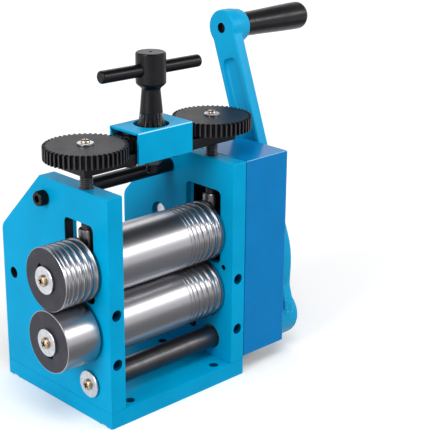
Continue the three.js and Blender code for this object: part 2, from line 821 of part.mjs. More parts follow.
// The idler has a tooth towards the drive shaft. This is how far its nearest tooth lies from the line
// to the lower roller, turned into the driven gear's own pitch, plus half a pitch for the gap.
function drivenPhase() {
  const toShaft = Math.atan2(shaftHeight - idlerPlace.z, shaftY - idlerPlace.y);
  const toRoller = Math.atan2(lowerRollerHeight - idlerPlace.z, rollerY - idlerPlace.y);
  const idlerOffset = toRoller - toShaft;
  return (idlerOffset * driveIdlerTeeth) / drivenGearTeeth + Math.PI / drivenGearTeeth;
}

// Sliding bearing blocks of the upper roller on their springs
function springSolid(height) {
  const turns = springTurns;
  const rise = height - springWire - 2 * fitGap;
  class Helix extends THREE.Curve {
    getPoint(t, target = new THREE.Vector3()) {
      const angle = 2 * Math.PI * turns * t;
      const radius = springMeanDiameter / 2;
      return target.set(radius * Math.cos(angle), radius * Math.sin(angle), rise * t);
    }
  }
  const section = new THREE.Shape();
  section.absellipse(0, 0, springWire / 2, springWire / 2, 0, 2 * Math.PI);
  const wire = new THREE.ExtrudeGeometry(
    new THREE.Shape(section.getPoints(5).slice(0, 5)),
    { steps: turns * 8, extrudePath: new Helix(), bevelEnabled: false },
  );
  wire.translate(0, 0, springWire / 2 + fitGap);
  return toSolid(wire);
}

function slab(width, from, to) {
  const half = width / 2 - slideGap;
  const ends = [Math.min(from, to), Math.max(from, to)];
  return box(...ends, windowShift - half, windowShift + half, blockBottom, blockTop);
}

function makeBearings() {
  const blocks = unit(0, rollerY, 0);
  for (const { name, sign } of sides) {
    const flangeFace = sign * (plateInner + windowStep - slideGap);
    const from = Math.min(sign * plateInner, sign * plateOuter);
    const block = cut(
      join(
        slab(windowInnerWidth, sign * plateInner, flangeFace),
        slab(windowOuterWidth, flangeFace, sign * plateOuter),
      ),
      hole('x', journalDiameter + 2 * runningGap, from - 1, from + plateThickness + 1)
        .translate([0, 0, upperRollerHeight]),
    );
    piece(blocks, `bearing_block_${name}`, block, blackOxide);
    piece(mill, `return_spring_${name}`, springSolid(blockBottom - windowBottom), springSteel,
      [sign * plateMiddle, rollerY, windowBottom]);
  }
}

// Drive shaft, its pinion and the crank
function makeDriveShaft(parent) {
  const start = -plateOuter - seatGap;
  const end = crankInner + hubLength;
  const neck = plateInner - rollerEndPlay;
  const shaft = cut(
    revolve('x', [
      [start, 0],
      [start, driveJournalDiameter / 2],
      [-neck, driveJournalDiameter / 2],
      [-neck, driveShaftDiameter / 2],
      [neck, driveShaftDiameter / 2],
      [neck, driveJournalDiameter / 2],
      [plateOuter + driveGearStart - seatGap, driveJournalDiameter / 2],
      [plateOuter + driveGearStart - seatGap, driveEndDiameter / 2],
      [end, driveEndDiameter / 2],
      [end, 0],
    ], mediumSides),
    hole('x', endScrewDiameter + 2 * fitGap, start - 1, start + endScrewReach + 1, smallSides),
  );
  piece(parent, 'drive_shaft', shaft, blackOxide);
  makeEndScrew(parent, 'shaft', start);
  const from = plateOuter + driveGearStart;
  const to = from + driveGearWidth;
  const toIdler = Math.atan2(idlerPlace.z - shaftHeight, idlerPlace.y - shaftY);
  const outline = gearOutline({
    module: driveGearModule,
    teeth: drivePinionTeeth,
    phase: toIdler + Math.PI / drivePinionTeeth,
  });
  const pinion = cut(prism('x', outline, from, to), hole('x', driveEndDiameter + 2 * fitGap, from - 1, to + 1));
  piece(parent, 'drive_pinion', pinion, darkSteel);
}

// The arm runs straight from the grip's boss to a knee above the hub and spreads into the hub there.
function armCentreLine() {
  const hub = new THREE.Vector2(0, 0);
  const knee = new THREE.Vector2(crankKneeRun, crankKnee);
  const boss = new THREE.Vector2(crankRun, crankRise);
  const bend = knee.clone().lerp(boss, 0.08);
  const foot = new THREE.Vector2(crankKneeRun * 0.18, crankKnee * 0.33);
  const rise = new THREE.Vector2(crankKneeRun * 0.3, crankKnee * 0.58);
  return [hub, foot, ...new THREE.QuadraticBezierCurve(rise, knee, bend).getPoints(6), boss];
}

const armWidths = [hubDiameter, hubDiameter - 1, armFootWidth];

function stripOutline(line, widths) {
  const left = [];
  const right = [];
  line.forEach((point, i) => {
    const before = line[Math.max(0, i - 1)];
    const after = line[Math.min(line.length - 1, i + 1)];
    const width = widths[Math.min(i, widths.length - 1)];
    const across = after.clone().sub(before).normalize().multiplyScalar(width / 2);
    left.push([point.x - across.y, point.y + across.x]);
    right.unshift([point.x + across.y, point.y - across.x]);
  });
  return polygon([...left, ...right]);
}

function makeCrankArm(parent) {
  const inner = crankInner + armOffset;
  const outer = inner + armThickness;
  const line = armCentreLine();
  const last = line[line.length - 1];
  const before = line[line.length - 2];
  const direction = last.clone().sub(before).normalize();
  const recessLine = [
    ...line.slice(4, -1),
    last.clone().addScaledVector(direction, -armRecessStart),
  ];
  const recessEnd = recessLine[recessLine.length - 1];
  const boss = bevelled('x', crankBossDiameter, inner, inner + crankBossLength, 1.2);
  const recess = (from, to) => join(
    prism('x', stripOutline(recessLine, [armRecessWidth]), from, to),
    round('x', armRecessWidth, from, to, smallSides).translate([0, recessEnd.x, recessEnd.y]),
    round('x', armRecessWidth, from, to, smallSides).translate([0, recessLine[0].x, recessLine[0].y]),
  );
  const arm = cut(
    join(
      prism('x', stripOutline(line, [...armWidths, armWidth]), inner, outer),
      bevelled('x', hubDiameter, crankInner, crankInner + hubLength, 1.2),
      boss.translate([0, crankRun, crankRise]),
    ),
    recess(inner - 1, inner + armRecess),
    recess(outer - armRecess, outer + 1),
    hole('x', driveEndDiameter + 2 * fitGap, crankInner - 1, crankInner + hubLength + 1),
    hole('x', gripBoltDiameter + 2 * fitGap, inner - 1, inner + crankBossLength + 1, smallSides)
      .translate([0, crankRun, crankRise]),
  );
  piece(parent, 'crank_arm', arm, bluePaint);
}

function makeGrip(parent) {
  const boss = crankInner + armOffset;
  const start = boss + crankBossLength + gripPlay;
  const end = start + gripLength;
  const boltHead = end - 12;
  const bolt = revolve('x', [
    [boss + gripBoltRecess, 0],
    [boss + gripBoltRecess, gripBoltDiameter / 2],
    [boltHead, gripBoltDiameter / 2],
    [boltHead, gripBoltDiameter / 2 + 2],
    [boltHead + 3, gripBoltDiameter / 2 + 2],
    [boltHead + 3, 0],
  ], smallSides);
  piece(parent, 'grip_bolt', bolt, zinc, [0, crankRun, crankRise]);

  const root = gripRootDiameter / 2;
  const tip = gripEndDiameter / 2;
  const bore = gripBoltDiameter / 2 + slideGap;
  const headBore = gripBoltDiameter / 2 + 2 + slideGap;
  const dome = [];
  for (let i = 0; i <= 6; i += 1) {
    const angle = (Math.PI / 2) * (i / 6);
    dome.push([end - tip * 0.48 + tip * 0.48 * Math.sin(angle), Math.max(headBore, tip * Math.cos(angle))]);
  }
  const grip = cut(
    revolve('x', [
      [start, 0],
      [start, root - 0.8],
      [start + 0.8, root],
      [start + gripLength * 0.35, root + (tip - root) * 0.3],
      [start + gripLength * 0.6, root + (tip - root) * 0.8],
      ...dome,
      [end, 0],
    ], mediumSides),
    hole('x', 2 * bore, start - 1, end + 1, smallSides),
    hole('x', 2 * headBore, boltHead - slideGap, end + 1, smallSides),
  );
  const handle = unit(0, shaftY + crankRun, shaftHeight + crankRise);
  piece(handle, 'crank_grip', grip, blackPlastic);
}

// Height adjustment: link plate, bracket, screws and gear train
function makeCarriage() {
  const carriage = unit(0, rollerY, 0);
  const half = linkPlateDepth / 2;
  const reach = plateMiddle + linkPlateOverhang;
  let plate = box(-reach, reach, -half, half, linkPlateHeight, linkPlateTop);
  const bores = [
    [0, spindleJournalDiameter],
    [-plateMiddle, screwNeckDiameter],
    [plateMiddle, screwNeckDiameter],
  ];
  for (const [x, diameter] of bores) {
    plate = cut(plate, hole('z', diameter + 2 * runningGap, linkPlateHeight - 1, linkPlateTop + 1)
      .translate([x, 0, 0]));
  }
  for (const x of [-adjustIdlerX, adjustIdlerX]) {
    plate = cut(plate, hole('z', idlerPinDiameter + 2 * fitGap, linkPlateHeight - 1, linkPlateTop + 1, smallSides)
      .translate([x, 0, 0]));
  }
  piece(carriage, 'link_plate', plate, blackOxide);

  const inside = half + seatGap;
  const outside = inside + bracketSheet;
  const top = linkPlateHeight + bracketHeight;
  const bracket = cut(
    box(-bracketWidth / 2, bracketWidth / 2, -outside, outside, linkPlateHeight, top),
    box(-bracketWidth, bracketWidth, -inside, inside, linkPlateHeight - 1, top - bracketSheet),
    hole('z', bracketHoleDiameter, linkPlateHeight, top + 1),
  );
  piece(carriage, 'spindle_bracket', bracket, bluePaint);

  const gearTop = adjustGearHeight + adjustGearWidth;
  const pin = revolve('z', [
    [linkPlateHeight - idlerPinTail, 0],
    [linkPlateHeight - idlerPinTail, idlerPinHeadDiameter / 2 - 1],
    [linkPlateHeight - idlerPinTail + 1, idlerPinHeadDiameter / 2],
    [linkPlateHeight - fitGap, idlerPinHeadDiameter / 2],
    [linkPlateHeight - fitGap, idlerPinDiameter / 2],
    [gearTop + seatGap, idlerPinDiameter / 2],
    [gearTop + seatGap, idlerPinHeadDiameter / 2],
    [gearTop + seatGap + idlerPinHeadHeight, idlerPinHeadDiameter / 2],
    [gearTop + seatGap + idlerPinHeadHeight, 0],
  ], smallSides);
  const idlerOutline = gearOutline({
    module: adjustModule,
    teeth: adjustIdlerTeeth,
    phase: Math.PI / adjustIdlerTeeth,
  });
  const idler = cut(
    prism('z', idlerOutline, adjustGearHeight, gearTop),
    hole('z', idlerPinDiameter + 2 * runningGap, adjustGearHeight - 1, gearTop + 1, smallSides),
  );
  for (const { name, sign } of sides) {
    const x = sign * adjustIdlerX;
    piece(carriage, `idler_pin_${name}`, pin, darkSteel, [x, 0, 0]);
    piece(unit(x, rollerY, 0), `adjust_idler_${name}`, idler, blackOxide);
  }
}

function makePressureScrew({ name, sign }) {
  const line = unit(sign * plateMiddle, rollerY, 0);
  const gearTop = adjustGearHeight + adjustGearWidth;
  const shoulder = linkPlateHeight - seatGap;
  const collarBottom = blockTop + seatGap;
  const collarTop = collarBottom + thrustCollarHeight;
  const collarRadius = thrustCollarDiameter / 2;
  const collarBevel = 0.4;
  const screw = cut(
    revolve('z', [
      [collarBottom, 0],
      [collarBottom, collarRadius - collarBevel],
      [collarBottom + collarBevel, collarRadius],
      [collarTop - collarBevel, collarRadius],
      [collarTop, collarRadius - collarBevel],
      [collarTop, screwDiameter / 2],
      [shoulder, screwDiameter / 2],
      [shoulder, screwNeckDiameter / 2],
      [gearTop - seatGap, screwNeckDiameter / 2],
      [gearTop - seatGap, 0],
    ], smallSides),
    hole('z', gearScrewDiameter + 2 * fitGap, gearTop - gearScrewReach - 1, gearTop + 1, smallSides),
  );
  piece(line, `pressure_screw_${name}`, screw, darkSteel);

  const outline = gearOutline({ module: adjustModule, teeth: adjustGearTeeth });
  const gear = cut(
    prism('z', outline, adjustGearHeight, gearTop),
    hole('z', screwNeckDiameter + 2 * fitGap, adjustGearHeight - 1, gearTop + 1, smallSides),
  );
  piece(line, `adjust_gear_${name}`, gear, blackOxide);

  const washerBottom = gearTop + fitGap;
  const washerTop = washerBottom + gearWasherThickness;
  const washer = cut(
    round('z', gearWasherDiameter, washerBottom, washerTop, smallSides),
    hole('z', gearScrewDiameter + 2 * fitGap, washerBottom - 1, washerTop + 1, smallSides),
  );
  piece(line, `gear_washer_${name}`, washer, zinc);
  const seat = washerTop + fitGap;
  const headRadius = gearScrewHeadDiameter / 2;
  const headScrew = revolve('z', [
    [gearTop - gearScrewReach, 0],
    [gearTop - gearScrewReach, gearScrewDiameter / 2],
    [seat, gearScrewDiameter / 2],
    [seat, headRadius],
    [seat + gearScrewHeadHeight * 0.4, headRadius],
    [seat + gearScrewHeadHeight * 0.8, headRadius * 0.8],
    [seat + gearScrewHeadHeight, headRadius * 0.45],
    [seat + gearScrewHeadHeight, 0],
  ], smallSides);
  piece(line, `gear_screw_${name}`, headScrew, brassFinish);
}

// T-handle: a spindle with its pinion cut into it, a cross bar and a nut below the link plate
function makeSpindle() {
  const handle = unit(0, rollerY, 0);
  const headBottom = spindleTop - spindleHeadHeight;
  const headRadius = spindleHeadDiameter / 2;
  const tipRadius = (adjustModule * (adjustPinionTeeth + 2)) / 2;
  const collar = linkPlateTop + seatGap;
  const body = revolve('z', [
    [spindleEndHeight, 0],
    [spindleEndHeight, spindleEndDiameter / 2 - 0.4],
    [spindleEndHeight + 0.4, spindleEndDiameter / 2],
    [linkPlateHeight - seatGap, spindleEndDiameter / 2],
    [linkPlateHeight - seatGap, spindleJournalDiameter / 2],
    [collar, spindleJournalDiameter / 2],
    [collar, tipRadius],
    [pinionToothTop, tipRadius],
    [pinionToothTop + pinionToothRunOut, spindleRootDiameter / 2],
    [headBottom - 1, spindleNeckDiameter / 2],
    [headBottom, spindleNeckDiameter / 2 + 0.4],
    [headBottom, headRadius - spindleHeadBevel],
    [headBottom + spindleHeadBevel, headRadius],
    [spindleTop - 0.8, headRadius],
    [spindleTop, headRadius - 0.8],
    [spindleTop, 0],
  ], mediumSides);
  const toothTop = pinionToothTop + pinionToothRunOut;
  const toothSpace = cut(
    round('z', 4 * tipRadius, collar, toothTop, smallSides),
    prism('z', gearOutline({
      module: adjustModule,
      teeth: adjustPinionTeeth,
      addendum: 1.2 * adjustModule,
    }), collar - 1, toothTop + 1),
  );
  const barHeight = spindleTop - barDrop;
  const spindle = cut(
    body,
    toothSpace,
    hole('x', barDiameter + 2 * fitGap, -spindleHeadDiameter, spindleHeadDiameter, smallSides)
      .rotate([0, 0, -barTurn]).translate([0, 0, barHeight]),
  );
  piece(handle, 'adjust_spindle', spindle, blackOxide);
  const bar = bevelled('x', barDiameter, -barLength / 2, barLength / 2, barBevel, smallSides);
  piece(handle, 't_bar', bar.rotate([0, 0, -barTurn]).translate([0, 0, barHeight]), blackOxide);

  const nutTop = linkPlateHeight - seatGap;
  const washerDiameter = spindleNutWidth * 1.3;
  const nut = cut(
    join(
      round('z', spindleNutWidth / Math.cos(Math.PI / 6), nutTop - spindleNutThickness, nutTop - 1, 6),
      round('z', washerDiameter, nutTop - 1.2, nutTop, smallSides),
    ),
    hole('z', spindleEndDiameter + 2 * fitGap, nutTop - spindleNutThickness - 1, nutTop + 1, smallSides),
  );
  piece(handle, 'spindle_nut', nut, darkSteel);
}

const frame = unit();
makeBasePlate(frame);
for (const side of sides) {
  makeSidePlate(frame, side);
  makeBush(frame, `roller_bush_${side.name}`, side.sign, rollerBushDiameter, journalDiameter, rollerY, lowerRollerHeight);
  makeBush(frame, `shaft_bush_${side.name}`, side.sign, driveBushDiameter, driveJournalDiameter, shaftY, shaftHeight);
}
makeTieRod(frame);
makeGearCase(frame);
makeDriveIdler(frame);
makeRollers();
makeBearings();
const crank = unit(0, shaftY, shaftHeight);
makeDriveShaft(crank);
makeCrankArm(crank);
makeGrip(crank);
makeCarriage();
sides.forEach(makePressureScrew);
makeSpindle();

export default mill;
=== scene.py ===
"""A hand-cranked rolling mill for a jeweller's bench, dressed and lit on a plain pale floor."""

import json
import math

import bpy
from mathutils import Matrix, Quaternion, Vector


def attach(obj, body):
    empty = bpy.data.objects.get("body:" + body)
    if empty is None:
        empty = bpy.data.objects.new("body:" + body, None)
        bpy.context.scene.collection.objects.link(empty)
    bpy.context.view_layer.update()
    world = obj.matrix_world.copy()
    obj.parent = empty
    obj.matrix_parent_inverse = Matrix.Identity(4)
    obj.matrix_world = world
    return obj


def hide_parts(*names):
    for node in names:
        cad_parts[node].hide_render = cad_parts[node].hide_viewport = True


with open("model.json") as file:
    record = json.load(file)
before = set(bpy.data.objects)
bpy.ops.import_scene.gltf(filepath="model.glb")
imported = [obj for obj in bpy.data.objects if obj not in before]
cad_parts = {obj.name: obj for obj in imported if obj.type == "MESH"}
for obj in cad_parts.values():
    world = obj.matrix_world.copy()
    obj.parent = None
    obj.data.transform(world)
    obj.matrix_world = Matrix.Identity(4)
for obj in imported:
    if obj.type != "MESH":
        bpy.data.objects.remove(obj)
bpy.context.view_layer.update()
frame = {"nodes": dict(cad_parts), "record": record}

# Sizes below are in millimetres and are turned into metres by MM.
MM = 0.001
X = Vector((1, 0, 0))
Y = Vector((0, 1, 0))
Z = Vector((0, 0, 1))
AXES = {"x": X, "y": Y, "z": Z}
DISC_TURN = {"x": (0, math.pi / 2, 0), "y": (-math.pi / 2, 0, 0), "z": (0, 0, 0)}

PLATE_INNER = 40
PLATE_OUTER = 50
PLATE_MIDDLE = 45
FRONT = -48
REAR = 48
FRAME_TOP = 131.5
BASE_TOP = 9.5
CHAMFER_DEPTH = 38
CHAMFER_HEIGHT = 36.5
REAR_ROUNDING = 3
EDGE_HOLE_HEIGHTS = {"left": (37.2, 65.9), "right": (30.5, 61.8)}
REAR_HOLE = (0, 38.6, 66.4)
SMALL_HOLE = (0, -40.6, 68.2)
TIE_ROD = (0, 5.5, 120)
COVER_BOLT = (0, 15.4, 88)

ROLLER_Y = -25
WINDOW_Y = -23.4
WINDOW_INNER_WIDTH = 28.7
WINDOW_OUTER_WIDTH = 24.4
WINDOW_STEP = 43.8
WINDOW_BOTTOM = 69.5
WINDOW_TOP = 113.5
BLOCK_BOTTOM = 76.5
BLOCK_TOP = 98.5
LOWER_Z = 52
UPPER_Z = 87.5
ROLLER_RADIUS = 17.5
ROLLER_END = 39.5
JOURNAL_END = 50.3
ROLLER_BUSH_HOLE = 24.2
SIDE_ROLLER_INNER = -51.7
SIDE_ROLLER_OUTER = -73.2
SPIGOT_END = -73
SHAFT_Y = -30.5
SHAFT_Z = 21.8
SHAFT = (0, SHAFT_Y, SHAFT_Z)
SHAFT_END = -50.3
SHAFT_BUSH_HOLE = 14.2
CASE_OUTER = 84.5
CASE_BOTTOM = 11.3
ARM_INNER = 88
ARM_OUTER = 95.5
GRIP_Y = SHAFT_Y + 42.8
GRIP_Z = SHAFT_Z + 171.8
BOSS = (0, GRIP_Y, GRIP_Z)
LINK_BOTTOM = 141
LINK_TOP = 147
GEAR_BOTTOM = 147.5
GEAR_TOP = 155
IDLER_X = 15.3
BRACKET_TOP = 158.2
T_BAR_Z = 188
T_BAR_TURN = math.radians(-2.2)

record = frame["record"]
body_of = {node: body for body, nodes in record["behaviour"]["bodies"].items() for node in nodes}
slot_of = {part["node"]: part["material_slot"] for part in record["subparts"]}


# ---- Modelling tools, used on one piece at a time ----

def drop_selection():
    if bpy.context.object and bpy.context.object.mode != "OBJECT":
        bpy.ops.object.mode_set(mode="OBJECT")
    bpy.ops.object.select_all(action="DESELECT")


def pick(piece):
    drop_selection()
    piece.select_set(True)
    bpy.context.view_layer.objects.active = piece


def edit(piece):
    pick(piece)
    bpy.ops.object.mode_set(mode="EDIT")
    bpy.ops.mesh.select_all(action="SELECT")


def leave_edit():
    bpy.ops.object.mode_set(mode="OBJECT")


def outward(piece):
    edit(piece)
    bpy.ops.mesh.normals_make_consistent(inside=False)
    leave_edit()
    return piece


def turned(axis, centre, profile, sides=96):
    """A turned piece: a disc, extruded along its axis and rescaled at each (place, radius)."""
    drop_selection()
    unit = AXES[axis]
    middle = Vector(centre) * MM
    along, radius = profile[0]
    bpy.ops.mesh.primitive_circle_add(
        vertices=sides,
        radius=radius * MM,
        fill_type="NGON",
        location=middle + unit * along * MM,
        rotation=DISC_TURN[axis],
    )
    piece = bpy.context.object
    bpy.ops.object.transform_apply(location=True, rotation=True, scale=True)
    edit(piece)
    for next_along, next_radius in profile[1:]:
        step = unit * (next_along - along) * MM
        bpy.ops.mesh.extrude_region_move(TRANSFORM_OT_translate={"value": step})
        if next_radius != radius:
            factor = next_radius / radius
            scale = [1 if unit[i] else factor for i in range(3)]
            bpy.ops.transform.resize(
                value=scale, center_override=middle + unit * next_along * MM
            )
        along, radius = next_along, next_radius
    leave_edit()
    return outward(piece)


def rod(axis, centre, diameter, start, end, sides=64):
    return turned(axis, centre, [(start, diameter / 2), (end, diameter / 2)], sides)


def block(low, high):
    drop_selection()
    low, high = Vector(low) * MM, Vector(high) * MM
    bpy.ops.mesh.primitive_cube_add(size=1, location=(low + high) / 2)
    piece = bpy.context.object
    piece.scale = high - low
    bpy.ops.object.transform_apply(location=True, rotation=True, scale=True)
    return piece


def apply(piece, modifier):
    pick(piece)
    bpy.ops.object.modifier_apply(modifier=modifier.name)
    return piece


def combine(piece, tool, operation):
    modifier = piece.modifiers.new("combine", "BOOLEAN")
    modifier.operation = operation
    modifier.solver = "EXACT"
    modifier.object = tool
    apply(piece, modifier)
    bpy.data.objects.remove(tool)
    return piece


def cut(piece, *tools):
    for tool in tools:
        combine(piece, tool, "DIFFERENCE")
    return piece


def weld(piece, *tools):
    for tool in tools:
        combine(piece, tool, "UNION")
    return piece


def soften(piece, width, segments=2, angle=32):
    modifier = piece.modifiers.new("edges", "BEVEL")
    modifier.width = width * MM
    modifier.segments = segments
    modifier.limit_method = "ANGLE"
    modifier.angle_limit = math.radians(angle)
    modifier.use_clamp_overlap = False
    return apply(piece, modifier)


def choose(piece, kind, wanted):
    """Leaves a piece in edit mode with only the wanted points, edges or faces selected."""
    pick(piece)
    bpy.ops.object.mode_set(mode="EDIT")
    bpy.ops.mesh.select_mode(type=kind)
    bpy.ops.mesh.select_all(action="DESELECT")
    bpy.ops.object.mode_set(mode="OBJECT")
    mesh = piece.data
    parts = {"VERT": mesh.vertices, "EDGE": mesh.edges, "FACE": mesh.polygons}[kind]
    for part in parts:
        part.select = wanted(part)
    bpy.ops.object.mode_set(mode="EDIT")


def round_edges(piece, radius, segments, wanted):
    """Rounds the edges whose two ends, in millimetres, satisfy a rule."""
    points = piece.data.vertices
    choose(piece, "EDGE", lambda edge: wanted(*(points[i].co / MM for i in edge.vertices)))
    bpy.ops.mesh.bevel(offset=radius * MM, segments=segments, affect="EDGES")
    leave_edit()
    return piece


def delete_faces(piece, wanted):
    """Deletes the faces whose centre, in millimetres, and normal satisfy a rule."""
    choose(piece, "FACE", lambda face: wanted(face.center / MM, face.normal))
    bpy.ops.mesh.delete(type="FACE")
    leave_edit()


def bisect(piece, point, normal):
    """Cuts off what lies beyond a plane and closes the cut."""
    edit(piece)
    bpy.ops.mesh.bisect(
        plane_co=Vector(point) * MM, plane_no=normal, use_fill=True, clear_outer=True
    )
    leave_edit()
    return piece


def shell(piece, wall):
    modifier = piece.modifiers.new("wall", "SOLIDIFY")
    modifier.thickness = wall * MM
    modifier.offset = -1
    modifier.use_even_offset = True
    return apply(piece, modifier)


def turned_copy(piece, axis, centre, angle):
    """A copy with its own mesh, turned about an axis through a point."""
    pick(piece)
    bpy.ops.object.duplicate(linked=False)
    twin = bpy.context.object
    middle = Vector(centre) * MM
    turn = Quaternion(AXES[axis], angle)
    twin.rotation_euler = turn.to_euler()
    twin.location = middle - turn @ middle
    bpy.ops.object.transform_apply(location=True, rotation=True, scale=True)
    return twin


def turn(piece, axis, centre, angle):
    twin = turned_copy(piece, axis, centre, angle)
    bpy.data.objects.remove(piece)
    return twin


def gather(pieces):
    drop_selection()
    for piece in pieces:
        piece.select_set(True)
    bpy.context.view_layer.objects.active = pieces[0]
    bpy.ops.object.join()
    return bpy.context.object


def mirror_copy(piece):
    """The same piece on the other side of the middle plane."""
    pick(piece)
    bpy.ops.object.duplicate(linked=False)
    twin = bpy.context.object
    twin.scale = (-1, 1, 1)
    bpy.ops.object.transform_apply(location=True, rotation=True, scale=True)
    return outward(twin)


# ---- Finishes ----

def new_finish(name, metallic=0.0, **sockets):
    material = bpy.data.materials.new(name)
    material.use_nodes = True
    tree = material.node_tree
    shader = tree.nodes["Principled BSDF"]
    shader.inputs["Metallic"].default_value = metallic
    for socket, value in sockets.items():
        shader.inputs[socket.replace("_", " ")].default_value = value
    return material, tree, shader


def pattern(tree, scale, detail=4.0, roughness=0.55, stretch=(1, 1, 1)):
    """Noise in object space, in cells per metre, squeezed by stretch along X, Y and Z."""
    place = tree.nodes.new("ShaderNodeTexCoord")
    mapping = tree.nodes.new("ShaderNodeMapping")
    mapping.inputs["Scale"].default_value = stretch
    texture = tree.nodes.new("ShaderNodeTexNoise")
    texture.inputs["Scale"].default_value = scale
    texture.inputs["Detail"].default_value = detail
    texture.inputs["Roughness"].default_value = roughness
    tree.links.new(place.outputs["Object"], mapping.inputs["Vector"])
    tree.links.new(mapping.outputs["Vector"], texture.inputs["Vector"])
    return texture


def ramp(tree, source, stops):
    """Colours or greys spread over a pattern's values."""
    node = tree.nodes.new("ShaderNodeValToRGB")
    elements = node.color_ramp.elements
    while len(elements) < len(stops):
        elements.new(0.5)
    for element, (place, level) in zip(elements, stops):
        element.position = place
        element.color = (*level, 1) if isinstance(level, tuple) else (level, level, level, 1)
    tree.links.new(source, node.inputs["Fac"])
    return node.outputs["Color"]


def bump(tree, shader, source, strength, depth):
    node = tree.nodes.new("ShaderNodeBump")
    node.inputs["Strength"].default_value = strength
    node.inputs["Distance"].default_value = depth * MM
    tree.links.new(source, node.inputs["Height"])
    tree.links.new(node.outputs["Normal"], shader.inputs["Normal"])


def shade(colour, factor):
    return tuple(min(1.0, channel * factor) for channel in colour)


def mottled(tree, scale, detail, stops):
    """Colours or greys that follow clouds of a given size."""
    return ramp(tree, pattern(tree, scale, detail).outputs["Fac"], stops)


def enamel(name, colour, gloss_level=0.05, roughness=(0.28, 0.4)):
    """Sprayed enamel: a faint mottle, orange peel and a soft gloss."""
    material, tree, shader = new_finish(name, Specular_IOR_Level=gloss_level)
    colours = mottled(tree, 38, 5, [(0.3, shade(colour, 0.93)), (0.7, shade(colour, 1.06))])
    tree.links.new(colours, shader.inputs["Base Color"])
    gloss = mottled(tree, 260, 3, [(0.3, roughness[0]), (0.75, roughness[1])])
    tree.links.new(gloss, shader.inputs["Roughness"])
    peel = pattern(tree, 900, detail=2)
    bump(tree, shader, peel.outputs["Fac"], 0.22, 0.06)
    return material


def cast_enamel(name, colour, rough_below, smooth_above):
    """Enamel on a casting, whose sand grains show at its foot and fade out with height."""
    material, tree, shader = new_finish(name, Specular_IOR_Level=0.12)
    place = tree.nodes.new("ShaderNodeTexCoord")
    height = tree.nodes.new("ShaderNodeSeparateXYZ")
    tree.links.new(place.outputs["Object"], height.inputs["Vector"])
    fade = tree.nodes.new("ShaderNodeMapRange")
    fade.inputs["From Min"].default_value = rough_below * MM
    fade.inputs["From Max"].default_value = smooth_above * MM
    fade.inputs["To Min"].default_value = 1
    fade.inputs["To Max"].default_value = 0.04
    tree.links.new(height.outputs["Z"], fade.inputs["Value"])
    specks = pattern(tree, 1500, detail=4, roughness=0.6)
    pale = shade(colour, 1.15)
    stops = [(0.36, shade(colour, 0.84)), (0.52, colour), (0.62, pale), (0.72, BARE_SPECK)]
    speckled = ramp(tree, specks.outputs["Fac"], stops)
    even = mottled(tree, 38, 5, [(0.3, shade(colour, 0.93)), (0.7, shade(colour, 1.06))])
    blend = tree.nodes.new("ShaderNodeMix")
    blend.data_type = "RGBA"
    tree.links.new(fade.outputs["Result"], blend.inputs["Factor"])
    tree.links.new(even, blend.inputs["A"])
    tree.links.new(speckled, blend.inputs["B"])
    tree.links.new(blend.outputs["Result"], shader.inputs["Base Color"])
    gloss = ramp(tree, specks.outputs["Fac"], [(0.35, 0.42), (0.7, 0.28)])
    tree.links.new(gloss, shader.inputs["Roughness"])
    grains = pattern(tree, 1100, detail=3, roughness=0.6)
    raised = tree.nodes.new("ShaderNodeMath")
    raised.operation = "MULTIPLY"
    tree.links.new(grains.outputs["Fac"], raised.inputs[0])
    tree.links.new(fade.outputs["Result"], raised.inputs[1])
    bump(tree, shader, raised.outputs[0], 0.8, 0.3)
    return material


def oxide(name, colour, roughness=(0.26, 0.38), metallic=0.0, gloss_level=0.2):
    """Black oxide on steel: darker and lighter patches, fine machining grain."""
    material, tree, shader = new_finish(name, metallic=metallic, Specular_IOR_Level=gloss_level)
    patches = pattern(tree, 120, detail=6, roughness=0.65)
    colours = ramp(tree, patches.outputs["Fac"], [
        (0.3, shade(colour, 0.8)), (0.55, colour), (0.8, shade(colour, 1.35)),
    ])
    tree.links.new(colours, shader.inputs["Base Color"])
    gloss = ramp(tree, patches.outputs["Fac"], [(0.3, roughness[1]), (0.75, roughness[0])])
    tree.links.new(gloss, shader.inputs["Roughness"])
    marks = pattern(tree, 1400, detail=3)
    bump(tree, shader, marks.outputs["Fac"], 0.2, 0.03)
    return material


def turned_steel(name, colour, roughness, stretch):
    """Ground steel with fine lines round the axis it was turned on."""
    material, tree, shader = new_finish(name, metallic=1.0)
    lines = pattern(tree, 1, detail=6, roughness=0.7, stretch=stretch)
    colours = ramp(tree, lines.outputs["Fac"], [
        (0.3, shade(colour, 0.92)), (0.5, colour), (0.72, shade(colour, 1.06)),
    ])
    tree.links.new(colours, shader.inputs["Base Color"])
    gloss = ramp(tree, lines.outputs["Fac"], [(0.3, roughness * 1.12), (0.7, roughness * 0.9)])
    tree.links.new(gloss, shader.inputs["Roughness"])
    bump(tree, shader, lines.outputs["Fac"], 0.12, 0.01)
    return material


def plated(name, colour, roughness):
    """Zinc or yellow plate: soft clouds and pinhead spots."""
    material, tree, shader = new_finish(name, metallic=1.0)
    clouds = pattern(tree, 420, detail=5, roughness=0.6)
    stops = [(0.3, shade(colour, 0.8)), (0.7, shade(colour, 1.12))]
    colours = ramp(tree, clouds.outputs["Fac"], stops)
    tree.links.new(colours, shader.inputs["Base Color"])
    gloss = ramp(tree, clouds.outputs["Fac"], [(0.3, roughness * 1.3), (0.7, roughness * 0.8)])
    tree.links.new(gloss, shader.inputs["Roughness"])
    spots = pattern(tree, 2600, detail=2)
    bump(tree, shader, spots.outputs["Fac"], 0.12, 0.02)
    return material


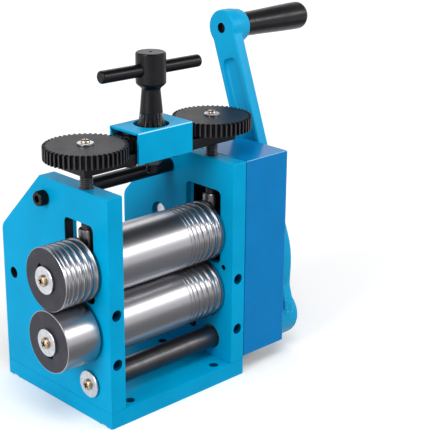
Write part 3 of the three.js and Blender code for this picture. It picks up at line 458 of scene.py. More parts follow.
def moulded(name, colour):
    """Moulded black plastic with a faint spark-eroded grain."""
    material, tree, shader = new_finish(name, Specular_IOR_Level=0.2)
    clouds = pattern(tree, 160, detail=4)
    stops = [(0.3, shade(colour, 0.8)), (0.7, shade(colour, 1.5))]
    colours = ramp(tree, clouds.outputs["Fac"], stops)
    tree.links.new(colours, shader.inputs["Base Color"])
    gloss = ramp(tree, clouds.outputs["Fac"], [(0.3, 0.34), (0.7, 0.24)])
    tree.links.new(gloss, shader.inputs["Roughness"])
    grain = pattern(tree, 1800, detail=2)
    bump(tree, shader, grain.outputs["Fac"], 0.1, 0.02)
    return material


ROUND_X = (3500, 45, 45)
ROUND_Z = (45, 45, 3500)
PLATE_BLUE = (0.0, 0.35, 0.64)
BARE_SPECK = (0.35, 0.7, 0.85)
finishes = {
    "blue_paint": enamel("bright blue enamel", PLATE_BLUE),
    "black_oxide": oxide("black oxide", (0.0035, 0.0034, 0.005)),
    "polished_steel": turned_steel("polished roller steel", (0.38, 0.377, 0.4), 0.31, ROUND_X),
    "dark_steel": oxide("dark turned steel", (0.08, 0.078, 0.088), (0.28, 0.34), metallic=0.85),
    "zinc": plated("light zinc plate", (0.6, 0.62, 0.65), 0.34),
    "brass": plated("yellow passivated zinc", (0.5, 0.38, 0.26), 0.36),
    "bronze": plated("sintered bronze", (0.42, 0.26, 0.11), 0.42),
    "spring_steel": plated("spring wire", (0.3, 0.3, 0.31), 0.3),
    "black_plastic": moulded("black moulded plastic", (0.007, 0.0068, 0.009)),
}
dark_end = oxide("darkened roller end", (0.033, 0.031, 0.041), (0.35, 0.5))
cast_blue = cast_enamel("cast blue enamel", PLATE_BLUE, rough_below=40, smooth_above=84)
cover_blue = enamel("deep blue cover enamel", (0.0, 0.2, 0.52), 0.2, (0.14, 0.22))
# Lighter, glossier blue: a painted highlight along the top front edges of the case and bracket.
painted_edge_highlight = enamel("painted highlight on top front edges", (0.34, 0.7, 0.9), gloss_level=0.5)
gear_black = oxide("black gear face", (0.008, 0.007, 0.011), (0.34, 0.44), gloss_level=0.14)
# Lighter than the gear's black: a painted highlight on the tips of the teeth.
painted_tip_highlight = oxide("painted highlight on gear tips", (0.04, 0.038, 0.048), (0.3, 0.42))
# Darker than the gear's black: painted shade between teeth and deep in the spindle's flutes.
painted_recess_shade = oxide("painted shade in tooth gaps and flutes", (0.003, 0.003, 0.004), (0.5, 0.7))
satin_black = oxide("satin black shaft", (0.085, 0.083, 0.088), (0.33, 0.42), metallic=0.9)
bare_steel = turned_steel("bare turned steel", (0.2, 0.19, 0.19), 0.3, ROUND_Z)
# Bright steel on the flutes' side walls: a painted highlight for the light slivers along them.
painted_flute_highlight = turned_steel("painted highlight on flute walls", (0.5, 0.49, 0.47), 0.3, ROUND_Z)
screw_plate = plated("pale passivated screw", (0.56, 0.49, 0.39), 0.32)
hole_blue = enamel("shaded blue of the drilled holes", (0.0, 0.075, 0.17))
# Black for the outer part of the window walls, their own colour, and painted shade in small holes,
# bores and cross recesses.
window_black_and_hole_shade = oxide("black window wall and painted hole shade", (0.008, 0.008, 0.009), (0.45, 0.6))

for name, node in frame["nodes"].items():
    node.data.materials.clear()
    node.data.materials.append(finishes[slot_of[name]])


def complete(piece, node, smooth=28):
    """Gives a finished piece its name, shading, finish and body, in place of its plain solid."""
    pick(piece)
    bpy.ops.object.shade_smooth_by_angle(angle=math.radians(smooth))
    flat = piece.modifiers.new("flat faces", "WEIGHTED_NORMAL")
    flat.mode = "FACE_AREA_WITH_ANGLE"
    flat.weight = 90
    flat.keep_sharp = True
    apply(piece, flat)
    piece.name = node + "_finished"
    piece.data.name = piece.name
    piece.data.materials.clear()
    piece.data.materials.append(finishes[slot_of[node]])
    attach(piece, body_of[node])
    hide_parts(node)
    return piece


def finish_faces(piece, material, wanted):
    """Puts a second finish on the faces whose centre and normal satisfy a rule."""
    piece.data.materials.append(material)
    slot = len(piece.data.materials) - 1
    for face in piece.data.polygons:
        if wanted(face.center / MM, face.normal):
            face.material_index = slot


# ---- Frame ----

SCREW_SPOTS = [(x, y) for x in (-PLATE_MIDDLE, PLATE_MIDDLE) for y in (-41, 41)]
BENCH_HOLE_X = 32
BENCH_HOLE_ROWS = (-41.5, 3.5)


def make_base():
    base = block((-PLATE_OUTER, FRONT, 0), (PLATE_OUTER, REAR, BASE_TOP))
    for x in (-BENCH_HOLE_X, BENCH_HOLE_X):
        for y in BENCH_HOLE_ROWS:
            cut(base, rod("z", (x, y, 0), 5.5, -1, BASE_TOP + 1))
    for x, y in SCREW_SPOTS:
        cut(base, turned("z", (x, y, 0), [(-0.5, 6.1), (0, 5.6), (2.5, 3.1), (4, 3.1)], 64))
    complete(soften(base, 0.35), "base_plate")
    finish_faces(base, hole_blue, lambda place, normal: (
        abs(normal.z) < 0.2
        and abs(abs(place.x) - BENCH_HOLE_X) < 3
        and max(abs(place.x), abs(place.y)) < 46
    ))
    for i, (x, y) in enumerate(SCREW_SPOTS):
        head = turned("z", (x, y, 0), [(0.4, 4.9), (0.6, 5.1), (2.5, 3), (17.5, 3)], 48)
        cut(head, rod("z", (x, y, 0), 4.6, 0, 2, 6))
        complete(head, f"base_screw_{i + 1}")


def chamfered(low, high):
    """A block whose upper rear corner is cut off on the slope that the plates and case share."""
    piece = block(low, high)
    corner = (0, REAR - CHAMFER_DEPTH, FRAME_TOP)
    bisect(piece, corner, (0, CHAMFER_HEIGHT, CHAMFER_DEPTH))
    return round_edges(piece, REAR_ROUNDING, 5, lambda a, b: (
        min(a.y, b.y) > REAR - 0.1 and min(a.z, b.z) > 90
    ))


def window_tool(width, start, end):
    """The bearing blocks' window, with rounded corners."""
    low, high = sorted((start, end))
    half = width / 2
    window = block((low, WINDOW_Y - half, WINDOW_BOTTOM), (high, WINDOW_Y + half, WINDOW_TOP))
    return round_edges(window, 3, 6, lambda a, b: abs(a.x - b.x) > 2)


def in_bore(place, centre, radius):
    """Whether a place lies within a radius of a bore's middle line along X."""
    return math.hypot(place.y - centre[1], place.z - centre[2]) < radius


def in_window(place):
    inside = abs(place.y - WINDOW_Y) < 13 and WINDOW_BOTTOM - 0.5 < place.z < WINDOW_TOP + 0.5
    return inside and WINDOW_STEP < abs(place.x) < PLATE_OUTER - 0.4


def in_edge_hole(place, heights):
    inside = FRONT + 0.5 < place.y < FRONT + 11 and abs(abs(place.x) - PLATE_MIDDLE) < 3.6
    return inside and any(abs(place.z - height) < 3.6 for height in heights)


def make_side_plate(name, sign):
    inner = PLATE_INNER if sign > 0 else -PLATE_OUTER
    ends = (inner - 2, inner + 12)
    heights = EDGE_HOLE_HEIGHTS[name]
    plate = chamfered((inner, FRONT, BASE_TOP), (inner + 10, REAR, FRAME_TOP))
    cut(
        plate,
        window_tool(WINDOW_OUTER_WIDTH, *ends),
        window_tool(WINDOW_INNER_WIDTH, sign * (PLATE_INNER - 2), sign * WINDOW_STEP),
        rod("x", (0, ROLLER_Y, LOWER_Z), ROLLER_BUSH_HOLE, *ends, 96),
        rod("x", SHAFT, SHAFT_BUSH_HOLE, *ends, 72),
        rod("x", TIE_ROD, 5.2, *ends, 48),
        rod("z", (sign * PLATE_MIDDLE, ROLLER_Y, 0), 7.3, 112, 133, 48),
    )
    for height in heights:
        drilled = [(FRONT - 1, 3.15), (FRONT + 9, 3.15), (FRONT + 10.5, 1.2)]
        cut(plate, turned("y", (sign * PLATE_MIDDLE, 0, height), drilled, 48))
    if sign < 0:
        cut(plate, rod("x", REAR_HOLE, 6.6, *ends, 48))
    else:
        cut(plate, rod("x", COVER_BOLT, 12, *ends, 64), rod("x", SMALL_HOLE, 3.2, *ends, 32))
    complete(soften(plate, 0.35), f"side_plate_{name}")
    # The walls of the window's outer part are black; the small hole and the rear hole get painted
    # shade.
    finish_faces(plate, window_black_and_hole_shade, lambda place, normal: abs(normal.x) < 0.3 and (
        in_window(place)
        or in_bore(place, SMALL_HOLE, 1.8)
        or sign < 0 and in_bore(place, REAR_HOLE, 3.4)
    ))
    finish_faces(plate, hole_blue, lambda place, normal: in_edge_hole(place, heights))


def make_tie_rod():
    bar = turned("x", TIE_ROD, [(-39.7, 3.9), (-39.4, 4.2), (39.4, 4.2), (39.7, 3.9)], 64)
    complete(bar, "upper_tie_rod")
    head = turned("x", TIE_ROD, [
        (30.7, 2.5), (50.3, 2.5), (50.3, 4.0), (50.6, 4.25), (50.9, 4.25),
        (54.4, 4.25), (54.9, 4.1), (55.3, 3.7),
    ], 72)
    knurl(head, TIE_ROD, 50.75, 54.45, 0.94)
    cut(head, rod("x", TIE_ROD, 4.62, 52.8, 56, 6))
    left = mirror_copy(head)
    complete(head, "tie_screw_right")
    complete(left, "tie_screw_left")


def knurl(piece, centre, start, end, factor):
    """Pulls in every second point round a screw head's side."""
    middle = Vector(centre)

    def wanted(vertex):
        place = vertex.co / MM - middle
        turn_share = math.degrees(math.atan2(place.z, place.y)) / 5
        return start < place.x < end and round(turn_share) % 2 == 0

    choose(piece, "VERT", wanted)
    bpy.ops.transform.resize(value=(1, factor, factor), center_override=middle * MM)
    leave_edit()


def make_gear_case():
    wall = 1.8
    case = chamfered((50.5, FRONT, CASE_BOTTOM), (CASE_OUTER, REAR, FRAME_TOP))
    delete_faces(case, lambda centre, normal: normal.x < -0.9 or normal.z < -0.9)
    shell(case, wall)
    round_edges(case, 1.4, 4, lambda a, b: (
        min(a.x, b.x) > CASE_OUTER - 0.1 and max(a.z, b.z) > CASE_BOTTOM + 0.1
    ))
    cut(
        case,
        rod("x", SHAFT, SHAFT_BUSH_HOLE, 76, 92, 72),
        rod("x", COVER_BOLT, 10.6, 76, 92, 72),
    )
    complete(soften(case, 0.4, 3), "gear_case")
    # Painted highlight: the bevel of the case's top front edge gets the lighter blue.
    finish_faces(case, painted_edge_highlight, lambda place, normal: (
        place.z > FRAME_TOP - 1
        and place.y < FRONT + 1
        and -0.9 < normal.y < -0.25
        and 0.25 < normal.z < 0.95
    ))
    case.data.materials[0] = cover_blue
    bolt = turned("x", COVER_BOLT, [
        (42.5, 4.6), (43.1, 5.2), (84.8, 5.2), (84.8, 6.7), (85.1, 7), (86.2, 7), (86.8, 6.4),
    ], 72)
    complete(cut(bolt, rod("x", COVER_BOLT, 6, 85, 88, 6)), "cover_bolt")
    bush = turned("x", SHAFT, [(80.4, 9), (82.4, 9), (82.4, 7), (85.0, 7), (85.3, 6.7)], 72)
    complete(cut(bush, rod("x", SHAFT, 8.2, 78, 88, 64)), "case_bush")


# ---- Rollers ----

GROOVE_RADII = (0.5, 0.75, 1, 1.25, 1.5, 1.75, 2)
SIDE_GROOVE_RADII = (0.8, 1.1, 1.4, 1.6, 1.8, 2)
GROOVE_DEPTH_SHARE = 0.75
GROOVE_LAND = 1.1
SIDE_GROOVE_LAND = 0.6


def groove_points(start, radii, land, steps=9):
    """Rounded grooves side by side, with a land after each, as (place, radius) points."""
    points = []
    along = start
    for radius in radii:
        for i in range(steps + 1):
            angle = math.pi * i / steps
            depth = radius * GROOVE_DEPTH_SHARE * math.sin(angle)
            points.append((along + radius - radius * math.cos(angle), ROLLER_RADIUS - depth))
        along += 2 * radius + land
    return points


def key_tool(height, degrees, low, high, start, end, width):
    """A key's block, standing on the shaft at an angle."""
    tool = block((start, low, -width / 2), (end, high, width / 2))
    tool = turn(tool, "x", (0, 0, 0), math.radians(degrees))
    return shift(tool, (0, ROLLER_Y, height))


def shift(piece, offset):
    pick(piece)
    piece.location = Vector(offset) * MM
    bpy.ops.object.transform_apply(location=True, rotation=True, scale=True)
    return piece


def make_roller(name, height, key_angle, right_end):
    centre = (0, ROLLER_Y, height)
    span = sum(2 * radius + GROOVE_LAND for radius in GROOVE_RADII)
    body = [
        (SPIGOT_END, 6.7), (SPIGOT_END + 0.3, 7), (-JOURNAL_END, 7), (-JOURNAL_END, 9),
        (-ROLLER_END, 9), (-ROLLER_END, 17), (-39.35, 17.35), (-39, ROLLER_RADIUS),
        *groove_points(ROLLER_END - 1.2 - span, GROOVE_RADII, GROOVE_LAND),
        (39, ROLLER_RADIUS), (39.35, 17.35), (ROLLER_END, 17), (ROLLER_END, 9),
        (JOURNAL_END, 9), (JOURNAL_END, 7), (right_end, 7),
    ]
    roller = turned("x", centre, body, 128)
    for sign in (-1, 1):
        faces = sorted((sign * 5.6, sign * 9))
        flat = block((50.4, -9, faces[0]), (90, 9, faces[1]))
        cut(roller, shift(flat, centre))
    keyway = key_tool(height, key_angle, 5.1, 9.2, -75, SIDE_ROLLER_INNER, 4.2)
    cut(roller, keyway, rod("x", centre, 4.2, -75, -61, 32))
    complete(roller, f"{name}_roller")
    finish_faces(roller, dark_end, lambda place, normal: abs(normal.x) > 0.95)


def make_side_roller(name, height, key_angle, grooved):
    centre = (0, ROLLER_Y, height)
    outer, inner = SIDE_ROLLER_OUTER, SIDE_ROLLER_INNER
    if grooved:
        grooves = groove_points(outer + 0.9, SIDE_GROOVE_RADII, SIDE_GROOVE_LAND)
        body = [(outer, 17.2), (outer + 0.2, 17.5), *grooves]
    else:
        body = [(outer, 17), (outer + 0.15, 17.35), (outer + 0.5, 17.5)]
    roller = turned("x", centre, [*body, (inner - 0.3, 17.5), (inner, 17)], 128)
    keyway = key_tool(height, key_angle, 0, 9.3, -75, -50, 4.2)
    cut(roller, rod("x", centre, 14.2, -75, -50, 72), keyway)
    complete(roller, f"{name}_side_roller")
    finish_faces(roller, dark_end, lambda place, normal: abs(normal.x) > 0.95)
    key = soften(key_tool(height, key_angle, 5.2, 9.2, -71, -52.3, 4), 0.25)
    complete(key, f"{name}_side_key")


def cross_tool(centre, face, sign, size, depth):
    """A cross recess: two crossed blades that narrow towards the bottom."""
    bottom = face - sign * depth
    blades = []
    for degrees in (20, 110):
        low, high = sorted((face + sign * 0.4, bottom))
        blade = block((low, -size / 2, -size * 0.13), (high, size / 2, size * 0.13))
        choose(blade, "VERT", lambda vertex: abs(vertex.co.x / MM - bottom) < 0.01)
        bpy.ops.transform.resize(value=(1, 0.45, 0.6), center_override=(bottom * MM, 0, 0))
        leave_edit()
        blades.append(turn(blade, "x", (0, 0, 0), math.radians(degrees)))
    tool = weld(blades[0], blades[1])
    return shift(tool, centre)


def paint_cross_shade(head, centre, crown, axis):
    """Puts painted shade, a dark finish, on the faces sunk below a pan head's crown."""
    along = "xyz".index(axis)
    rise = 1 if axis == "z" else -1

    def sunk(place, normal):
        across = [place[i] - centre[i] for i in range(3) if i != along]
        depth = (crown - place[along]) * rise
        return math.hypot(*across) < 2.3 and 0.3 < depth < 1.6

    finish_faces(head, window_black_and_hole_shade, sunk)


def make_end_fastening(centre, face, washer_node, screw_node):
    """Washer and pan-head screw on the left end of a shaft."""
    back = face - 0.3
    front = back - 1.2
    outline = [(front, 7.35), (front + 0.2, 7.6), (back - 0.2, 7.6), (back, 7.4)]
    ring = turned("x", centre, outline, 96)
    complete(cut(ring, rod("x", centre, 4.2, front - 1, back + 1, 48)), washer_node)
    seat = front - 0.1
    crown = seat - 1.8
    dome = [
        (crown, 1.5), (seat - 1.72, 2.05), (seat - 1.5, 2.55),
        (seat - 1.1, 2.93), (seat - 0.6, 3.15), (seat, 3.2),
    ]
    head = turned("x", centre, [*dome, (seat, 2), (face + 11, 2)], 64)
    cut(head, cross_tool(centre, crown, -1, 4.2, 1.4))
    complete(head, screw_node)
    paint_cross_shade(head, centre, crown, "x")


def make_drive_shaft():
    shaft = turned("x", SHAFT, [
        (SHAFT_END, 5.2), (-50, 5.5), (-39.5, 5.5), (-39.5, 6.2), (-39.2, 6.5),
        (39.2, 6.5), (39.5, 6.2), (39.5, 5.5), (65.3, 5.5), (65.3, 4), (100.4, 4), (100.8, 3.6),
    ], 96)
    cut(shaft, rod("x", SHAFT, 4.2, -52, -38.3, 32))
    complete(shaft, "drive_shaft")
    shaft.data.materials[0] = satin_black


def make_block(name, sign):
    """A T-shaped block: its wide flange slides in the inner part of the window."""
    bearing = None
    for start, end, half in ((PLATE_INNER, 43.65, 14.2), (43, PLATE_OUTER, 12.05)):
        low, high = sorted((sign * start, sign * end))
        bar = block((low, WINDOW_Y - half, BLOCK_BOTTOM), (high, WINDOW_Y + half, BLOCK_TOP))
        bearing = weld(bearing, bar) if bearing else bar
    soften(bearing, 0.35)
    ends = sorted((sign * 38, sign * 52))
    cut(bearing, rod("x", (0, ROLLER_Y, UPPER_Z), 18.16, *ends, 96))
    complete(bearing, f"bearing_block_{name}")


def make_spring(name, sign):
    """A wire ring swept up its screw line, clear of the plate when its block is lowest."""
    drop_selection()
    bpy.ops.mesh.primitive_circle_add(
        vertices=12,
        radius=0.6 * MM,
        fill_type="NOTHING",
        location=(3.6 * MM, 0, 0),
        rotation=(math.pi / 2, 0, 0),
    )
    wire = bpy.context.object
    bpy.ops.object.transform_apply(location=True, rotation=True, scale=True)
    modifier = wire.modifiers.new("coil", "SCREW")
    modifier.axis = "Z"
    modifier.angle = 2 * math.pi * 4
    modifier.screw_offset = 5 * MM
    modifier.steps = 160
    modifier.render_steps = 160
    apply(wire, modifier)
    edit(wire)
    bpy.ops.mesh.select_all(action="DESELECT")
    bpy.ops.mesh.select_non_manifold()
    bpy.ops.mesh.edge_face_add()
    leave_edit()
    outward(wire)
    shift(wire, (sign * PLATE_MIDDLE, ROLLER_Y, WINDOW_BOTTOM + 1.1))
    complete(wire, f"return_spring_{name}")


# ---- Crank ----

def crank_line():
    """The arm's middle line, as (y, z) places from the hub, and its width at each."""
    hub, knee, boss = Vector((0, 0)), Vector((-5.2, 38)), Vector((42.8, 171.8))
    rise = Vector((-1.56, 22))
    bend = knee.lerp(boss, 0.08)
    line = [hub, Vector((-0.4, 6)), Vector((-0.9, 11.5)), Vector((-1.2, 14.5)), Vector((-1.4, 18))]
    widths = [29.8, 29.6, 29, 27, 24.2]
    for i in range(13):
        t = i / 12
        line.append(rise * (1 - t) ** 2 + knee * 2 * t * (1 - t) + bend * t ** 2)
        widths.append(19 + 3 * (1 - t) ** 5)
    return [*line, boss], [*widths, 19]


def strip(line, widths, start, end):
    """A flat bar along a line: its end is extruded, squared and rescaled at each place."""
    first = line[0]
    direction = (line[1] - line[0]).normalized()
    across = Vector((direction.y, -direction.x))
    low, high = min(start, end), max(start, end)
    bar = block((low, -widths[0] / 2, -0.01), (high, widths[0] / 2, 0))
    for vertex in bar.data.vertices:
        place = first + across * (vertex.co.y / MM)
        height = Vector((0, 0, vertex.co.z))
        vertex.co = Vector((vertex.co.x, place.x * MM, place.y * MM)) + height
    choose(bar, "FACE", lambda face: face.normal.z > 0.5)
    heading = math.atan2(across.y, across.x)
    for i in range(1, len(line)):
        step = line[i] - line[i - 1]
        pivot = (0, line[i].x * MM, line[i].y * MM)
        bpy.ops.mesh.extrude_region_move(
            TRANSFORM_OT_translate={"value": (0, step.x * MM, step.y * MM)}
        )
        after = line[min(i + 1, len(line) - 1)]
        tangent = (after - line[i - 1]).normalized()
        new_heading = math.atan2(-tangent.x, tangent.y)
        bpy.ops.transform.rotate(
            value=heading - new_heading,
            orient_axis="X",
            orient_type="GLOBAL",
            center_override=pivot,
        )
        factor = widths[i] / widths[i - 1]
        if factor != 1:
            bpy.ops.transform.resize(value=(1, factor, factor), center_override=pivot)
        heading = new_heading
    leave_edit()
    return outward(bar)


def scoop_tool(channel, face, sign):
    """A long scoop with rounded ends, whose bottom is inset step by step into a hollow."""
    width = 12.6
    lead = (channel[1] - channel[0]).normalized()
    tail = (channel[-1] - channel[-2]).normalized()
    reaches = (6.1, 5.5, 4.1, 2.3)
    end_widths = [6.2, 8.2, 10.4, 11.8]
    line = [channel[0] - lead * reach for reach in reaches] + channel
    line += [channel[-1] + tail * reach for reach in reversed(reaches)]
    widths = end_widths + [width] * len(channel) + end_widths[::-1]
    bottom = face - sign * 0.9
    tool = strip(line, widths, bottom, face + sign * 2)
    choose(tool, "FACE", lambda polygon: abs(polygon.center.x / MM - bottom) < 0.01)
    for inward, deeper in ((0.2, 0.45), (0.4, 0.5), (0.7, 0.45), (0.9, 0.3), (0.6, 0.1)):
        bpy.ops.mesh.inset(thickness=inward * MM, depth=deeper * MM)
    leave_edit()
    return outward(tool)


def cast(piece, grain, rounds):
    """Gives a welded-up pattern the soft corners and hollows of a casting."""
    mesh = piece.modifiers.new("grain", "REMESH")
    mesh.mode = "VOXEL"
    mesh.voxel_size = grain * MM
    apply(piece, mesh)
    soft = piece.modifiers.new("soft", "SMOOTH")
    soft.factor = 0.5
    soft.iterations = rounds
    return apply(piece, soft)


def make_crank():
    line, widths = crank_line()
    arm = strip(line, widths, ARM_INNER, ARM_OUTER)
    shift(arm, SHAFT)
    soften(arm, 0.9, 3, 50)
    hub = turned("x", SHAFT, [
        (85.6, 13.8), (86, 14.6), (86.8, 15), (99.4, 15), (100.3, 14.6), (100.8, 13.8),
    ], 96)
    boss = turned("x", BOSS, [
        (ARM_INNER, 10), (ARM_INNER + 0.3, 10.6), (ARM_INNER + 1, 10.8),
        (ARM_OUTER, 10.8), (102, 9.9), (102.9, 9.6), (103.3, 9),
    ], 96)
    weld(arm, hub, boss)
    direction = (line[-1] - line[-2]).normalized()
    channel = [*line[13:-1], line[-1] - direction * 25]
    for face, sign in ((ARM_INNER, -1), (ARM_OUTER, 1)):
        cut(arm, shift(scoop_tool(channel, face, sign), SHAFT))
    cast(arm, 0.6, 6)
    cut(arm, rod("x", BOSS, 6.2, 86, 105, 48), rod("x", SHAFT, 8.2, 82, 104, 48))
    complete(arm, "crank_arm", 35)
    arm.data.materials[0] = cast_blue
    # Painted shade on the wall of the boss's bore.
    finish_faces(arm, window_black_and_hole_shade, lambda place, normal: (
        abs(normal.x) < 0.3 and in_bore(place, BOSS, 3.3)
    ))


def make_grip():
    start, end = 103.8, 157.65
    neck, belly, nose = start + 0.9, 49.4, 4.1
    profile = [(start, 5.6), (start, 6.7), (start + 0.3, 7.1), (neck, 7.25)]
    for i in range(1, 25):
        share = i / 24
        swell = share * share * (3 - 2 * share)
        profile.append((neck + belly * share, 7.25 + 1.2 * swell))
    for i in range(1, 13):
        angle = math.pi / 2 * i / 13
        profile.append((end - nose + nose * math.sin(angle), 4.85 + 3.6 * math.cos(angle)))
    grip = turned("x", BOSS, profile, 96)
    cut(grip, rod("x", BOSS, 10.3, 146.05, 166, 48), rod("x", BOSS, 6.3, 100, 148, 48))
    complete(grip, "crank_grip")
    bolt = turned("x", BOSS, [
        (91, 2.7), (91.3, 3), (146.2, 3), (146.2, 4.8), (146.4, 5), (148.9, 5), (149.2, 4.7),
    ], 64)
    complete(cut(bolt, rod("x", BOSS, 5.5, 147.4, 151, 6)), "grip_bolt")
    # Painted shade on the bolt's inner end, deep in the boss's bore.
    finish_faces(bolt, window_black_and_hole_shade, lambda place, normal: place.x < 91.5)


# ---- Height adjustment ----

def make_link_plate():
    plate = block((-54, ROLLER_Y - 10.2, LINK_BOTTOM), (54, ROLLER_Y + 10.2, LINK_TOP))
    soften(plate, 0.5)
    for x, diameter in ((0, 8.2), (-PLATE_MIDDLE, 6.2), (PLATE_MIDDLE, 6.2)):
        cut(plate, rod("z", (x, ROLLER_Y, 0), diameter, LINK_BOTTOM - 2, LINK_TOP + 2, 48))
    complete(plate, "link_plate")


def make_bracket():
    cover = block((-19.2, ROLLER_Y - 12, LINK_BOTTOM), (19.2, ROLLER_Y + 12, BRACKET_TOP))
    round_edges(cover, 0.9, 4, lambda a, b: (
        abs(a.x - b.x) > 5 and min(a.z, b.z) > BRACKET_TOP - 0.2
    ))
    delete_faces(cover, lambda centre, normal: abs(normal.x) > 0.9 or normal.z < -0.9)
    shell(cover, 1.5)
    cut(cover, rod("z", (0, ROLLER_Y, 0), 19.4, 150, 160, 96))
    complete(soften(cover, 0.2), "spindle_bracket")
    # Painted highlight: the bevel of the bracket's top front edge gets the lighter blue.
    finish_faces(cover, painted_edge_highlight, lambda place, normal: (
        place.z > BRACKET_TOP - 1.2
        and place.y < ROLLER_Y - 11
        and -0.9 < normal.y < -0.3
        and 0.3 < normal.z < 0.92
    ))


def refined(node, width, angle=40):
    """A copy of a plain solid with its points merged and its edges eased."""
    source = frame["nodes"][node]
    pick(source)
    bpy.ops.object.duplicate(linked=False)
    piece = bpy.context.object
    for key in list(piece.keys()):
        del piece[key]
    piece.parent = None
    edit(piece)
    bpy.ops.mesh.remove_doubles(threshold=0.00001)
    bpy.ops.mesh.dissolve_limited(angle_limit=math.radians(1))
    leave_edit()
    soften(piece, width, 1, angle)
    return piece


def between_teeth(centre, tip_radius):
    """Picks a gear's upright faces that lie inside its tips and outside its bore."""
    def wanted(place, normal):
        radius = math.hypot(place.x - centre[0], place.y - centre[1])
        return abs(normal.z) < 0.3 and tip_radius * 0.7 < radius < tip_radius
    return wanted


def spread_slot(tool, factor, outer):
    """Widens a slot cutter's outer end."""
    choose(tool, "VERT", lambda vertex: vertex.co.x / MM > outer - 0.1)
    bpy.ops.transform.resize(value=(1, factor, 1), center_override=(outer * MM, 0, 0))
    leave_edit()


def ring_of_slots(slot, count, first):
    """Copies of a slot cutter turned round the Z axis, joined into one tool."""
    step = 2 * math.pi / count
    slots = [turned_copy(slot, "z", (0, 0, 0), first + step * i) for i in range(count)]
    bpy.data.objects.remove(slot)
    return gather(slots)


def slotted_gear(centre, teeth, tip_radius, depth):
    """A disc with a round-bottomed slot milled out between every two teeth."""
    edge = 0.35
    gear = turned("z", centre, [
        (GEAR_BOTTOM, tip_radius - edge), (GEAR_BOTTOM + edge, tip_radius),
        (GEAR_TOP - edge, tip_radius), (GEAR_TOP, tip_radius - edge),
    ], 192)
    outer = tip_radius + 1
    half = 2 * math.pi * tip_radius / teeth * 0.29
    slot = block((tip_radius - depth, -half, GEAR_BOTTOM - 1), (outer, half, GEAR_TOP + 1))
    spread_slot(slot, 1.3, outer)
    round_edges(slot, 0.45, 3, lambda a, b: abs(a.z - b.z) > 1 and max(a.x, b.x) < tip_radius)
    return cut(gear, shift(ring_of_slots(slot, teeth, math.pi / teeth), centre))


def thread(start, end, crest, pitch=1.25, depth=0.38):
    """The stepped outline of a screw thread along a turned piece."""
    root = crest - depth
    points = []
    for i in range(int((end - start) / pitch)):
        place = start + pitch * i
        points += [(place, root), (place + pitch * 0.42, crest), (place + pitch * 0.58, crest)]
    return [*points, (end, root)]


def make_adjusting_gear(side, centre):
    gear = slotted_gear(centre, 48, 22.5, 2.1)
    cut(gear, rod("z", centre, 6.2, GEAR_BOTTOM - 1, GEAR_TOP + 1, 48))
    complete(gear, f"adjust_gear_{side}", 20)
    gear.data.materials[0] = gear_black
    # Painted highlight: the upright faces get a lighter black, which stays on the tips once the
    # gaps are painted below.
    finish_faces(gear, painted_tip_highlight, lambda place, normal: abs(normal.z) < 0.3)
    # Painted shade: the faces between the teeth are darker than the gear's black.
    finish_faces(gear, painted_recess_shade, between_teeth(centre, 22.2))


def make_idler(side, centre):
    idler = refined(f"adjust_idler_{side}", 0.12)
    complete(idler, f"adjust_idler_{side}", 20)
    # Painted shade between the idler's teeth.
    finish_faces(idler, painted_recess_shade, between_teeth(centre, 8.8))


def make_idler_pin(side, centre):
    pin = turned("z", centre, [
        (136.4, 1.6), (136.7, 2.6), (137.4, 3.4), (138.4, 3.7), (140.9, 3.7), (140.9, 2.5),
        (155.3, 2.5), (155.3, 3.5), (155.5, 3.7), (156.3, 3.7), (156.7, 3.2),
    ], 64)
    complete(pin, f"idler_pin_{side}")


def make_pressure_screw(side, centre):
    screw = turned("z", centre, [
        (98.8, 4.6), (99.2, 5), (108.6, 5), (109.3, 4.5), (109.6, 3.6), (109.6, 3.1),
        *thread(110.4, 139.4, 3.5), (140.7, 3.1), (140.7, 3), (154.7, 3),
    ], 64)
    complete(screw, f"pressure_screw_{side}")
    finish_faces(screw, bare_steel, lambda place, normal: place.z < 109.7)
    outline = [(155.1, 4.25), (155.25, 4.4), (155.95, 4.4), (156.1, 4.25)]
    washer = turned("z", centre, outline, 72)
    complete(cut(washer, rod("z", centre, 3.2, 154, 157, 32)), f"gear_washer_{side}")
    crown = 157.8
    head = turned("x", (0, 0, 0), [
        (-crown, 1.1), (-157.72, 1.55), (-157.5, 1.95), (-157.1, 2.25), (-156.6, 2.38),
        (-156.2, 2.4), (-156.2, 1.5), (-148, 1.5),
    ], 64)
    cut(head, cross_tool((0, 0, 0), -crown, -1, 3.1, 1.2))
    head = turn(head, "y", (0, 0, 0), math.pi / 2)
    complete(shift(head, centre), f"gear_screw_{side}")
    head.data.materials[0] = screw_plate
    paint_cross_shade(head, centre, crown, "z")


